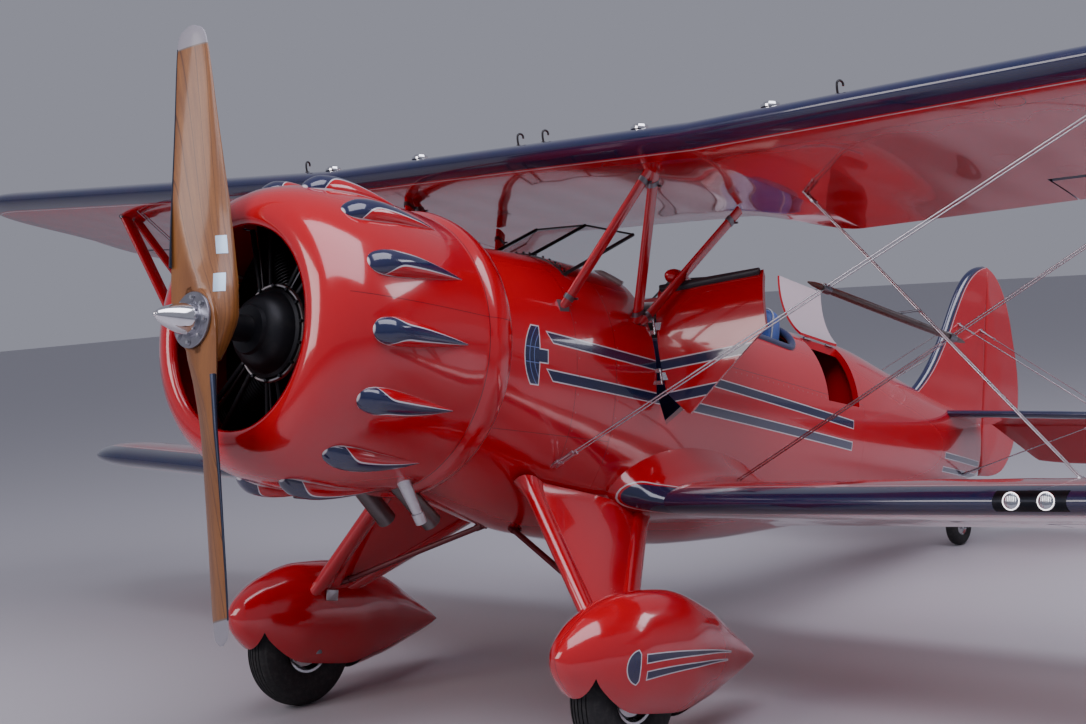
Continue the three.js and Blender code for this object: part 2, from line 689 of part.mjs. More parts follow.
const forwardFuselage = cut(fuselageSolid(-1120, COCKPIT_FRONT, 0), ...exhaustSlots);

// Engine as one plain block: shaft, nose case, cylinder ring that carries the cowling, rear case
const PROP_REAR = -132;
const engine = turned([
  [PROP_REAR - SEAT_GAP, 0], [PROP_REAR - SEAT_GAP, 70], [-150, 70], [-150, 48], [-270, 48], [-280, 120],
  [-340, 170], [-440, 190], [-470, 550], [-610, 550], [-610, 598 - SEAT_GAP], [-660, 598 - SEAT_GAP],
  [-660, 550], [-860, 550], [-860, 240], [-1120 + SEAT_GAP, 230], [-1120 + SEAT_GAP, 0]], COWL_SEGMENTS / 2);

// Propeller, two blades in one laminated piece. Columns: radius, chord, thickness, pitch in degrees
const BLADE_SET = THREE.MathUtils.degToRad(-12);
const HUB_MIDDLE = -72;
const bladeStages = [
  [0, 215, 118, 26],
  [110, 245, 105, 28],
  [230, 262, 78, 30],
  [400, 265, 52, 30],
  [620, 245, 36, 26],
  [850, 208, 25, 22],
  [1050, 150, 17, 18],
  [1165, 105, 12, 16],
  [PROPELLER_DIAMETER / 2, 40, 8, 15],
];

function bladeSection([radius, chord, thickness, pitch], side) {
  const SIDES = 10;
  const twist = THREE.MathUtils.degToRad(pitch);
  const points = [];
  for (let k = 0; k < SIDES; k += 1) {
    const a = (2 * Math.PI * k) / SIDES;
    const along = (chord / 2) * Math.cos(a);
    const front = (thickness / 2) * Math.sin(a) * (Math.sin(a) > 0 ? 1.3 : 0.7);
    const y = -side * along * Math.cos(twist) + side * front * Math.sin(twist);
    const x = along * Math.sin(twist) + front * Math.cos(twist);
    points.push(new THREE.Vector3(HUB_MIDDLE + x, y, side * radius));
  }
  return points;
}

const blades = join(
  ...[1, -1].map((side) => loft(bladeStages.map((stage) => bladeSection(stage, side)))),
  turned([[PROP_REAR, 0], [PROP_REAR, 105], [-12, 105], [-12, 0]], 20),
).intersect(box(PROP_REAR, -12, -300, 300, -1300, 1300));
const spinnerHub = turned([
  [-12 + SEAT_GAP, 0], [-12 + SEAT_GAP, 108], [0, 108], [0, 62], [40, 58], [95, 44], [140, 26],
  [SPINNER_TIP - 4, 9], [SPINNER_TIP, 0]], 20);

// Main wheels. Profile columns: distance across, radius
const RIM_RADIUS = 128;
const AXLE_RADIUS = 15;
const TYRE_SEGMENTS = 24;
const toFacet = 1 / Math.cos(Math.PI / TYRE_SEGMENTS);
const tyreProfile = [[-60, RIM_RADIUS], [-TYRE_HALF_WIDTH, 195], [-66, 252], [-34, TYRE_RADIUS * toFacet],
  [34, TYRE_RADIUS * toFacet], [66, 252], [TYRE_HALF_WIDTH, 195], [60, RIM_RADIUS], [-60, RIM_RADIUS]];
const tyre = turnedAcross(tyreProfile, TYRE_SEGMENTS, Math.PI / TYRE_SEGMENTS);
const hubProfile = [[-66, AXLE_RADIUS + 1], [-66, 44], [-40, 100], [-56, RIM_RADIUS - SEAT_GAP],
  [56, RIM_RADIUS - SEAT_GAP], [40, 100], [66, 44], [66, AXLE_RADIUS + 1], [-66, AXLE_RADIUS + 1]];
const wheelHub = turnedAcross(hubProfile, TYRE_SEGMENTS, Math.PI / TYRE_SEGMENTS);

// Gear leg: two faired tubes with a filled web between them, and the stub axle
const legTop = [new THREE.Vector3(-1520, 400, -500), new THREE.Vector3(-2250, 440, -575)];
const legFoot = [new THREE.Vector3(-1470, 862, -1090), new THREE.Vector3(-1660, 862, -1060)];
const LEG_CHORD = 105;
const LEG_THICKNESS = 62;
const WEB_THICKNESS = 18;

const webCorners = [legTop[0], legTop[1], legFoot[1], legFoot[0]];

function legFairing(grow) {
  const foot = legTop.map((top, k) => legFoot[k].clone()
    .addScaledVector(legFoot[k].clone().sub(top).normalize(), grow));
  const web = [legTop[0], legTop[1], foot[1], foot[0]];
  return join(
    strut(legTop[0], foot[0], LEG_CHORD + grow, LEG_THICKNESS + grow),
    strut(legTop[1], foot[1], LEG_CHORD + grow, LEG_THICKNESS + grow),
    plate(web, -(WEB_THICKNESS + grow) / 2, (WEB_THICKNESS + grow) / 2),
  );
}

const wheelWell = (() => {
  const WELL_RADIUS = TYRE_RADIUS + 28;
  const well = turnedAcross([[-104, 0], [-104, WELL_RADIUS], [104, WELL_RADIUS], [104, 0]], 20);
  return well.translate(MAIN_AXLE.toArray());
})();
const onAxle = (y) => new THREE.Vector3(MAIN_AXLE.x, y, MAIN_AXLE.z);
const axleShaft = rod(onAxle(835), onAxle(1052), AXLE_RADIUS, 16);
const postLine = [new THREE.Vector3(MAIN_AXLE.x, 848, MAIN_AXLE.z - 30), legFoot[0]];
const besideFillet = [[0.4, 0, 0], [0, 0.4, 0], [0, 0, -0.4]].map((shift) => fillet.translate(shift));
const gearLeg = join(
  cut(legFairing(0), wholeSkin, wheelWell, ...besideFillet), axleShaft, rod(...postLine, 21, 8));

const braceLine = [new THREE.Vector3(-1780, 60, -650), new THREE.Vector3(-1590, 820, -1017)];
const gearBrace = cut(
  rod(...braceLine, 17, 8), wholeSkin, plate(webCorners, -200, WEB_THICKNESS / 2 + SEAT_GAP));

// Wheel pants, measured from the axle. Columns: distance forward, half width, top, bottom
const pantStages = [
  [430, 10, 142, 118],
  [388, 66, 216, 42],
  [262, 128, 308, -48],
  [50, 178, 386, -118],
  [-200, 182, 404, -122],
  [-460, 136, 344, -62],
  [-705, 62, 234, 28],
  [-900, 6, 138, 116],
];

function pantSection([forward, half, top, bottom]) {
  const POINTS = 14;
  const middle = MAIN_AXLE.z + (top + bottom) / 2;
  const points = [];
  for (let k = 0; k < POINTS; k += 1) {
    const a = (2 * Math.PI * k) / POINTS;
    points.push(new THREE.Vector3(
      MAIN_AXLE.x + forward, MAIN_AXLE.y + half * Math.cos(a), middle + ((top - bottom) / 2) * Math.sin(a)));
  }
  return points;
}

const axleBore = rod(onAxle(700), onAxle(900), 34, 16);
const wheelPant = cut(
  loft(pantStages.map(pantSection)), wheelWell, legFairing(1), axleBore, rod(...postLine, 23, 8));

// Tail. Outlines in columns X, Z, hinge line upright at TAIL_HINGE
const TAIL_HINGE = -6375;
const FIN_HALF = 26;
const FIN_TOP = 1215;
const finOutline = (() => {
  const shape = new THREE.Shape();
  shape.moveTo(-5330, 230);
  shape.bezierCurveTo(-5560, 340, -5700, 520, -5830, 740);
  shape.bezierCurveTo(-5940, 930, -6040, 1190, TAIL_HINGE + SLOT / 2, FIN_TOP);
  shape.lineTo(TAIL_HINGE + SLOT / 2, -170);
  shape.lineTo(-6334, -170);
  shape.lineTo(-6334, 200);
  return shape;
})();
const rudderOutline = (() => {
  const shape = new THREE.Shape();
  const front = TAIL_HINGE - SLOT / 2;
  shape.moveTo(front, FIN_TOP);
  shape.bezierCurveTo(-6560, 1205, -6720, 1060, -6815, 800);
  shape.bezierCurveTo(-6890, 640, RUDDER_TRAILING_EDGE, 520, RUDDER_TRAILING_EDGE, 360);
  shape.bezierCurveTo(RUDDER_TRAILING_EDGE, 180, -6900, 0, -6740, -110);
  shape.bezierCurveTo(-6670, -155, -6540, -175, front, -175);
  return shape;
})();

function uprightSurface(shape, half) {
  const geometry = new THREE.ExtrudeGeometry(shape, {
    depth: 2 * (half - 10), bevelEnabled: true, bevelThickness: 10, bevelSize: 8, bevelOffset: -8,
    bevelSegments: 1, curveSegments: 5 });
  geometry.rotateX(Math.PI / 2);
  geometry.translate(0, half - 10, 0);
  return solidOf(geometry);
}

const rudderHinge = [new THREE.Vector3(TAIL_HINGE, 0, -150), new THREE.Vector3(TAIL_HINGE, 0, 1150)];
const rudderPins = knuckles(
  rudderHinge, [0.08, 0.5, 0.94],
  { moving: new THREE.Vector3(-22, 0, 0), fixed: new THREE.Vector3(22, 0, 0) });
const finPlate = uprightSurface(finOutline, FIN_HALF);
const fin = join(cut(finPlate, wholeSkin, wholeSkin.translate([-0.3, 0, 0.3])), rudderPins.fixed);
const rudder = join(uprightSurface(rudderOutline, FIN_HALF - 4), rudderPins.moving);

// Stabilizers and elevators, port side drawn. Columns of the outline: X, Y
const TAIL_LEVEL = 178;
const ELEVATOR_HINGE = -6260;
const TAIL_HALF_THICKNESS = 24;
const stabilizerOutline = (() => {
  const shape = new THREE.Shape();
  shape.moveTo(ELEVATOR_HINGE + SLOT / 2, 20);
  shape.lineTo(-5700, 20);
  shape.lineTo(-5705, 300);
  shape.bezierCurveTo(-5730, 900, -5830, 1480, -6060, 1620);
  shape.bezierCurveTo(-6150, 1660, -6210, 1660, ELEVATOR_HINGE + SLOT / 2, 1640);
  return shape;
})();
const elevatorOutline = (() => {
  const shape = new THREE.Shape();
  const front = ELEVATOR_HINGE - SLOT / 2;
  shape.moveTo(front, 120);
  shape.lineTo(front, 1640);
  shape.bezierCurveTo(-6420, 1600, -6560, 1400, -6620, 1100);
  shape.bezierCurveTo(-6680, 800, -6690, 560, -6650, 330);
  return shape;
})();

function levelSurface(shape, half) {
  const geometry = new THREE.ExtrudeGeometry(shape, {
    depth: 2 * (half - 9), bevelEnabled: true, bevelThickness: 9, bevelSize: 8, bevelOffset: -8,
    bevelSegments: 1, curveSegments: 5 });
  geometry.translate(0, 0, TAIL_LEVEL - half + 9);
  return solidOf(geometry);
}

const elevatorHinge = [
  new THREE.Vector3(ELEVATOR_HINGE, 160, TAIL_LEVEL), new THREE.Vector3(ELEVATOR_HINGE, 1600, TAIL_LEVEL)];
const elevatorPins = knuckles(
  elevatorHinge, [0.1, 0.88],
  { moving: new THREE.Vector3(-22, 0, 0), fixed: new THREE.Vector3(22, 0, 0) });
const finGrown = uprightSurface(finOutline, FIN_HALF + SEAT_GAP);
const stabilizer = join(
  cut(levelSurface(stabilizerOutline, TAIL_HALF_THICKNESS), wholeSkin, finGrown), elevatorPins.fixed);
const elevator = join(levelSurface(elevatorOutline, TAIL_HALF_THICKNESS - 3), elevatorPins.moving);

// Tail wheel: its axle height follows from the ground line through the main tyres
const groundLevel = MAIN_AXLE.x * Math.sin(NOSE_UP) + MAIN_AXLE.z * Math.cos(NOSE_UP) - TYRE_RADIUS;
const TAIL_AXLE_Z = (groundLevel + TAIL_WHEEL_RADIUS - TAIL_AXLE_X * Math.sin(NOSE_UP)) / Math.cos(NOSE_UP);
const TAIL_TRAIL = 60;
const TAIL_SEGMENTS = 16;
const tailToFacet = 1 / Math.cos(Math.PI / TAIL_SEGMENTS);
const tailTyre = turnedAcross([
  [-32, 7], [-40, 95], [-18, TAIL_WHEEL_RADIUS * tailToFacet], [18, TAIL_WHEEL_RADIUS * tailToFacet],
  [40, 95], [32, 7], [-32, 7]], TAIL_SEGMENTS, Math.PI / TAIL_SEGMENTS);

// Fork in its own level frame: the swivel runs up through the origin, the axle trails behind it
const FORK_TOP = 2 * TAIL_WHEEL_RADIUS + 34;
const onTailAxle = (y) => new THREE.Vector3(-TAIL_TRAIL, y, TAIL_WHEEL_RADIUS);
const fork = join(
  box(-TAIL_TRAIL - 26, 34, -56, 56, FORK_TOP - 14, FORK_TOP),
  box(-TAIL_TRAIL - 22, -TAIL_TRAIL + 22, 45, 56, TAIL_WHEEL_RADIUS - 20, FORK_TOP - 5),
  box(-TAIL_TRAIL - 22, -TAIL_TRAIL + 22, -56, -45, TAIL_WHEEL_RADIUS - 20, FORK_TOP - 5),
  rod(onTailAxle(-58), onTailAxle(58), 6, 12),
);

// Tail wheel mount: a faired post from the rear fuselage down to the swivel, ending level
const swivelAt = new THREE.Vector3(TAIL_AXLE_X + TAIL_TRAIL * Math.cos(NOSE_UP), 0, 0);
swivelAt.z = TAIL_AXLE_Z - TAIL_TRAIL * Math.sin(NOSE_UP);
const upward = new THREE.Vector3(Math.sin(NOSE_UP), 0, Math.cos(NOSE_UP));
const swivelTop = swivelAt.clone().addScaledVector(upward, FORK_TOP - TAIL_WHEEL_RADIUS + SEAT_GAP);
const mountBoss = rod(swivelTop, swivelTop.clone().addScaledVector(upward, 70), 32, 12);
const mountPost = strut(
  swivelTop.clone().addScaledVector(upward, 40), swivelTop.clone().addScaledVector(upward, 240), 190, 64);
const tailMount = cut(join(mountBoss, mountPost), wholeSkin, finGrown);

// The scene graph

const airframe = new THREE.Group();
const airplane = new THREE.Group();
airplane.add(airframe);

function mesh(name, solid, finish, parent = airframe) {
  const node = new THREE.Mesh(geometryOf(solid), new THREE.MeshStandardMaterial(finishes[finish]));
  node.name = name;
  parent.add(node);
  return node;
}

function bothSides(name, solid, finish) {
  mesh(`left_${name}`, solid, finish);
  mesh(`right_${name}`, mirrored(solid), finish);
}

// A group turned about a line through two points
function turnedGroup([from, to], degrees) {
  const outer = new THREE.Group();
  const inner = new THREE.Group();
  outer.position.copy(from);
  outer.quaternion.setFromAxisAngle(to.clone().sub(from).normalize(), THREE.MathUtils.degToRad(degrees));
  inner.position.copy(from).negate();
  outer.add(inner);
  airframe.add(outer);
  return inner;
}

mesh('cowling', cowling, 'red');
mesh('engine_block', engine, 'steel');
mesh('exhaust_outlets', exhaust, 'steel');
mesh('forward_fuselage', forwardFuselage, 'red');
mesh('cockpit_deck', deck, 'red');
mesh('left_cockpit_side', leftSide, 'red');
mesh('right_cockpit_side', rightSide, 'red');
mesh('cockpit_belly', belly, 'red');
mesh('rear_fuselage', fuselageSolid(COCKPIT_REAR, -6330, 0), 'red');
mesh('cockpit_floor', cockpitFloor, 'black');
for (const [name, plate] of Object.entries(interior)) mesh(name, plate, 'black');
for (const [name, ...size] of seats) mesh(name, cushion(...size), 'leather');
for (const [name, ...size] of windshields) mesh(name, windshield(...size), 'glass');

mesh('upper_centre_section', centreSection, 'red');
bothSides('upper_wing', upper.wing, 'red');
bothSides('lower_wing', lower.wing, 'red');
bothSides('upper_aileron', upper.flap, 'red');
bothSides('lower_aileron', lower.flap, 'red');
bothSides('wing_fillet', fillet, 'red');
bothSides('cabane_struts', cabane, 'red');
bothSides('interplane_strut', interplane, 'red');
bothSides('wing_rigging', rigging, 'metal');

bothSides('gear_leg', gearLeg, 'red');
bothSides('gear_brace', gearBrace, 'red');
bothSides('wheel_pant', wheelPant, 'red');

mesh('fin', fin, 'red');
mesh('rudder', rudder, 'red');
bothSides('stabilizer', stabilizer, 'red');
mesh('tail_wheel_mount', tailMount, 'red');

const drooped = turnedGroup(elevatorHinge, -ELEVATOR_DROOP);
mesh('left_elevator', elevator, 'red', drooped);
mesh('right_elevator', mirrored(elevator), 'red', drooped);

const propeller = turnedGroup([new THREE.Vector3(), new THREE.Vector3(1, 0, 0)], 0);
propeller.rotation.x = -BLADE_SET;
mesh('propeller_blades', blades, 'wood', propeller);
mesh('propeller_hub', spinnerHub, 'metal', propeller);

mesh('passenger_door', doorPanel, 'red', turnedGroup(doorHinge, -DOOR_OPEN));
mesh('baggage_hatch', hatchPanel, 'red', turnedGroup(hatchHinge, -HATCH_OPEN));

for (const [side, sign] of [['left', 1], ['right', -1]]) {
  const wheel = new THREE.Group();
  wheel.position.set(MAIN_AXLE.x, sign * MAIN_AXLE.y, MAIN_AXLE.z);
  wheel.rotation.y = NOSE_UP;
  airframe.add(wheel);
  mesh(`${side}_tyre`, tyre, 'rubber', wheel);
  mesh(`${side}_wheel_hub`, wheelHub, 'metal', wheel);
}

const tailGear = new THREE.Group();
tailGear.position.copy(swivelAt).addScaledVector(upward, -TAIL_WHEEL_RADIUS);
tailGear.rotation.y = NOSE_UP;
airframe.add(tailGear);
mesh('tail_fork', fork, 'steel', tailGear);
mesh('tail_wheel', tailTyre.translate([-TAIL_TRAIL, 0, TAIL_WHEEL_RADIUS]), 'rubber', tailGear);

// Tip nose up about the propeller flange, then set the tyres on the ground under the box's middle
airframe.rotation.y = -NOSE_UP;
airplane.updateMatrixWorld(true);
const bounds = new THREE.Box3().setFromObject(airplane, true);
const middle = bounds.getCenter(new THREE.Vector3());
airframe.position.set(-middle.x, -middle.y, -bounds.min.z);
airplane.updateMatrixWorld(true);

export default airplane;
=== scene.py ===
import json
import math

import bmesh
import bpy
from mathutils import Matrix, Vector

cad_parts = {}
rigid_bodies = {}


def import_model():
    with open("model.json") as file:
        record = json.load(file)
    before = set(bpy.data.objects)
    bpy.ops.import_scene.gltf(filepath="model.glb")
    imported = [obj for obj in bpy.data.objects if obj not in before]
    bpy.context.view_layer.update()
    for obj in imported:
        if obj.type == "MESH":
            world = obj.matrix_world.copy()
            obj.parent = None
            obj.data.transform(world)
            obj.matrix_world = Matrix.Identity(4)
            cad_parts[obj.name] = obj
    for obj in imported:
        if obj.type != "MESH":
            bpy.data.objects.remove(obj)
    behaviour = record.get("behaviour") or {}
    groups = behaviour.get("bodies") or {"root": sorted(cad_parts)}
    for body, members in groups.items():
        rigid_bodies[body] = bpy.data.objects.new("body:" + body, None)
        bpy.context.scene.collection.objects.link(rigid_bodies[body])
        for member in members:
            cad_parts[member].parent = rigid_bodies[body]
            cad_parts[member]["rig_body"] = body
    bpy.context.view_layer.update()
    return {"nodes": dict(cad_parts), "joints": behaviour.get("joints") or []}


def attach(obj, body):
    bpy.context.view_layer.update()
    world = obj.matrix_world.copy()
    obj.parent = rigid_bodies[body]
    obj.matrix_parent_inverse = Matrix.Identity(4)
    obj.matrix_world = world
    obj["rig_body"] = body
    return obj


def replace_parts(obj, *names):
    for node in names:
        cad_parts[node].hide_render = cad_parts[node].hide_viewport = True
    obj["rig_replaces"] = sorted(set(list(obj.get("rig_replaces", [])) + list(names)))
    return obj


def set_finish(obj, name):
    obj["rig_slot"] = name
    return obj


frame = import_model()
scene = bpy.context.scene

# The aircraft is measured level, as it stands for rigging: X forward from the propeller flange,
# Y to port and Z up from the thrust line, in metres. On its wheels it sits nose up, and this
# turns and places every piece.
shaft = next(joint for joint in frame["joints"] if joint["name"] == "propeller_spin")
nose_up = math.asin(shaft["axis"][2])
parked = Matrix.Translation(shaft["pos_m"]) @ Matrix.Rotation(-nose_up, 4, "Y")

# The camera stands off the port bow at standing height, looking a little up at the cowling.
eye = Vector((3.809, 5.154, -0.688))
yaw = math.radians(221.54)
pitch = math.radians(5.59)
roll = math.radians(-3.66)
ahead = Vector((math.cos(yaw) * math.cos(pitch), math.sin(yaw) * math.cos(pitch), math.sin(pitch)))
level_right = Vector((math.sin(yaw), -math.cos(yaw), 0))
level_down = ahead.cross(level_right)
right = math.cos(roll) * level_right + math.sin(roll) * level_down
down = math.cos(roll) * level_down - math.sin(roll) * level_right
camera = bpy.data.objects.new("camera", bpy.data.cameras.new("camera"))
scene.collection.objects.link(camera)
camera.matrix_world = parked @ Matrix((
    (right.x, -down.x, -ahead.x, eye.x),
    (right.y, -down.y, -ahead.y, eye.y),
    (right.z, -down.z, -ahead.z, eye.z),
    (0, 0, 0, 1)))
PICTURE_WIDTH = 1086
FOCAL_PIXELS = 1677.8
camera.data.sensor_width = 36
camera.data.lens = camera.data.sensor_width * FOCAL_PIXELS / PICTURE_WIDTH
camera.data.clip_end = 300
scene.camera = camera

# A plain pale floor with a plain pale surround, lit by broad soft lamps from above and both sides.
floor_mesh = bmesh.new()
bmesh.ops.create_grid(floor_mesh, x_segments=1, y_segments=1, size=60)
floor_data = bpy.data.meshes.new("floor")
floor_mesh.to_mesh(floor_data)
floor_mesh.free()
floor = bpy.data.objects.new("floor", floor_data)
scene.collection.objects.link(floor)
floor_finish = bpy.data.materials.new("pale floor")
floor_finish.use_nodes = True
floor_shader = floor_finish.node_tree.nodes["Principled BSDF"]
floor_shader.inputs["Base Color"].default_value = (0.47, 0.46, 0.49, 1)
floor_shader.inputs["Roughness"].default_value = 0.55
floor.data.materials.append(floor_finish)
surround = bpy.data.worlds.new("surround")
surround.use_nodes = True
surround.node_tree.nodes["Background"].inputs["Color"].default_value = (0.66, 0.67, 0.8, 1)
surround.node_tree.nodes["Background"].inputs["Strength"].default_value = 0.42
scene.world = surround
# Columns: name, place, aimed at, width, length, power, colour
lamps = (
    ("overhead", (2.5, 4.0, 9.5), (0.0, 0.0, 1.0), 10.0, 7.0, 1050, (0.9, 0.88, 1.0)),
    ("bow", (10.5, -1.5, 5.5), (1.0, 0.0, 1.5), 5.0, 5.0, 420, (1.0, 0.93, 0.95)),
    ("quarter", (-7.0, 8.5, 6.0), (-1.0, 0.5, 1.2), 6.0, 4.0, 460, (0.92, 0.9, 1.0)),
)
for name, place, aim, width, length, power, colour in lamps:
    lamp_data = bpy.data.lights.new(name, "AREA")
    lamp_data.shape = "RECTANGLE"
    lamp_data.size = width
    lamp_data.size_y = length
    lamp_data.energy = power
    lamp_data.color = colour
    lamp = bpy.data.objects.new(name, lamp_data)
    lamp.location = place
    lamp.rotation_euler = (Vector(aim) - Vector(place)).to_track_quat("-Z", "Y").to_euler()
    scene.collection.objects.link(lamp)


# The cowling is spun aluminium, bulged over a ring of cylinders, with a rolled lip, a flared rear
# band and fourteen teardrop blisters over the rocker covers. It is sprayed in deep gloss red.
# The ways of making that most pieces share are here, because it is the first piece.

def blank():
    """An empty mesh with its own map named skin."""
    mesh = bmesh.new()
    mesh.loops.layers.uv.new("skin")
    return mesh


def grid_skin(shape, across, along):
    """A sheet of faces bent to a shape of (part across, part along), with its own map named skin."""
    mesh = blank()
    bmesh.ops.create_grid(mesh, x_segments=across, y_segments=along, size=1, calc_uvs=True)
    for vert in mesh.verts:
        vert.co = shape((vert.co.x + 1) / 2, (vert.co.y + 1) / 2)
    return mesh


def outward(mesh):
    """Turns the faces of a shape outwards."""
    bmesh.ops.recalc_face_normals(mesh, faces=mesh.faces)
    if all(edge.is_manifold for edge in mesh.edges) and mesh.calc_volume(signed=True) < 0:
        bmesh.ops.reverse_faces(mesh, faces=mesh.faces)
    return mesh


def sewn(mesh, closed=True):
    """Joins the seam of a bent sheet, closes its ends and turns its faces outwards."""
    bmesh.ops.remove_doubles(mesh, verts=mesh.verts, dist=0.000002)
    if closed:
        bmesh.ops.holes_fill(mesh, edges=mesh.edges, sides=0)
    return outward(mesh)


def spun(profile, steps):
    """A shape spun about the thrust line. Profile columns: distance forward, radius."""
    mesh = blank()
    rim = [mesh.verts.new((x, 0, r)) for x, r in profile]
    edges = [mesh.edges.new(pair) for pair in zip(rim, rim[1:])]
    bmesh.ops.spin(
        mesh, geom=rim + edges, cent=(0, 0, 0), axis=(1, 0, 0), dvec=(0, 0, 0),
        angle=2 * math.pi, steps=steps, use_merge=True, use_duplicate=False)
    bmesh.ops.remove_doubles(mesh, verts=mesh.verts, dist=0.000002)
    return outward(mesh)


def ring_of(count, radius):
    """Places evenly round a circle, from its top."""
    angles = [2 * math.pi * k / count for k in range(count)]
    return [(radius * math.sin(angle), radius * math.cos(angle)) for angle in angles]


def between(points, place):
    """The smooth value of a table at a place. Its first column runs one way; the rest are values."""
    rising = points[-1][0] > points[0][0]
    rows = points if rising else points[::-1]
    place = min(max(place, rows[0][0]), rows[-1][0])
    k = next(i for i in range(len(rows) - 1) if place <= rows[i + 1][0])
    step = rows[k + 1][0] - rows[k][0]
    t = (place - rows[k][0]) / step
    found = []
    for column in range(1, len(rows[0])):
        a, b = rows[k][column], rows[k + 1][column]
        slope = (b - a) / step

        def tangent(i):
            if i == 0 or i == len(rows) - 1:
                return slope
            before = (rows[i][column] - rows[i - 1][column]) / (rows[i][0] - rows[i - 1][0])
            after = (rows[i + 1][column] - rows[i][column]) / (rows[i + 1][0] - rows[i][0])
            if before * after <= 0:
                return 0.0
            return 2 * before * after / (before + after)

        m0, m1 = tangent(k) * step, tangent(k + 1) * step
        found.append(
            (2 * t ** 3 - 3 * t ** 2 + 1) * a + (t ** 3 - 2 * t ** 2 + t) * m0
            + (3 * t ** 2 - 2 * t ** 3) * b + (t ** 3 - t ** 2) * m1)
    return found


def bevelled(mesh, offset, segments=2):
    """Rounds every edge of a small part."""
    bmesh.ops.bevel(
        mesh, geom=mesh.edges[:], offset=offset, segments=segments, profile=0.5, affect="EDGES", material=-1)
    return mesh


def gather(*meshes):
    """Puts several meshes into the first one."""
    whole = meshes[0]
    for mesh in meshes[1:]:
        spare = bpy.data.meshes.new("spare")
        mesh.to_mesh(spare)
        mesh.free()
        whole.from_mesh(spare)
        bpy.data.meshes.remove(spare)
    return whole


def finished_in(mesh, number):
    """Gives all the faces of a mesh one of the piece's finishes, by its number."""
    for face in mesh.faces:
        face.material_index = number
    return mesh


def mapped(mesh, name, rule):
    """Adds a map that a painted pattern follows. The rule gets a corner's place and its skin map."""
    layer = mesh.loops.layers.uv.new(name)
    skin = mesh.loops.layers.uv["skin"]
    for face in mesh.faces:
        for corner in face.loops:
            corner[layer].uv = rule(corner.vert.co, corner[skin].uv)
    return mesh


def piece(name, mesh, finishes, body="airframe", stands_for=(), crease=40, slot=None, at=parked):
    """Makes the object from its mesh and lets it move with its body."""
    mesh.transform(at)
    data = bpy.data.meshes.new(name)
    mesh.to_mesh(data)
    mesh.free()
    for finish in finishes:
        data.materials.append(finish)
    data.shade_smooth()
    data.set_sharp_from_angle(angle=math.radians(crease))
    made = bpy.data.objects.new(name, data)
    scene.collection.objects.link(made)
    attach(made, body)
    if stands_for:
        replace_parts(made, *stands_for)
    if slot:
        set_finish(made, slot)
    return made


def settled(made):
    """Bakes an object's modifiers into its mesh."""
    bpy.context.view_layer.update()
    graph = bpy.context.evaluated_depsgraph_get()
    data = bpy.data.meshes.new_from_object(made.evaluated_get(graph))
    made.modifiers.clear()
    made.data = data
    return made


def carved(made, cutters, keep="DIFFERENCE"):
    """Cuts a piece with closed shapes that then go away."""
    for cutter in cutters:
        cutter.transform(parked)
        data = bpy.data.meshes.new("cutter")
        cutter.to_mesh(data)
        cutter.free()
        tool = bpy.data.objects.new("cutter", data)
        scene.collection.objects.link(tool)
        cut = made.modifiers.new("cut", "BOOLEAN")
        cut.operation = keep
        cut.solver = "EXACT"
        cut.object = tool
        settled(made)
        bpy.data.objects.remove(tool)
        bpy.data.meshes.remove(data)
    return made


class Value:
    """A number or vector in a material's tree. Arithmetic on it adds the nodes that work it out."""

    def __init__(self, work, socket):
        self.work, self.socket = work, socket

    def __add__(self, other):
        return self.work.sums("ADD", self, other)

    def __radd__(self, other):
        return self.work.sums("ADD", other, self)

    def __sub__(self, other):
        return self.work.sums("SUBTRACT", self, other)

    def __rsub__(self, other):
        return self.work.sums("SUBTRACT", other, self)

    def __mul__(self, other):
        return self.work.sums("MULTIPLY", self, other)

    def __truediv__(self, other):
        return self.work.sums("DIVIDE", self, other)

    def __pow__(self, other):
        return self.work.sums("POWER", self, other)

    def __abs__(self):
        return self.work.sums("ABSOLUTE", self)

    def root(self):
        return self.work.sums("SQRT", self)

    def fract(self):
        return self.work.sums("FRACT", self)

    def sine(self):
        return self.work.sums("SINE", self)


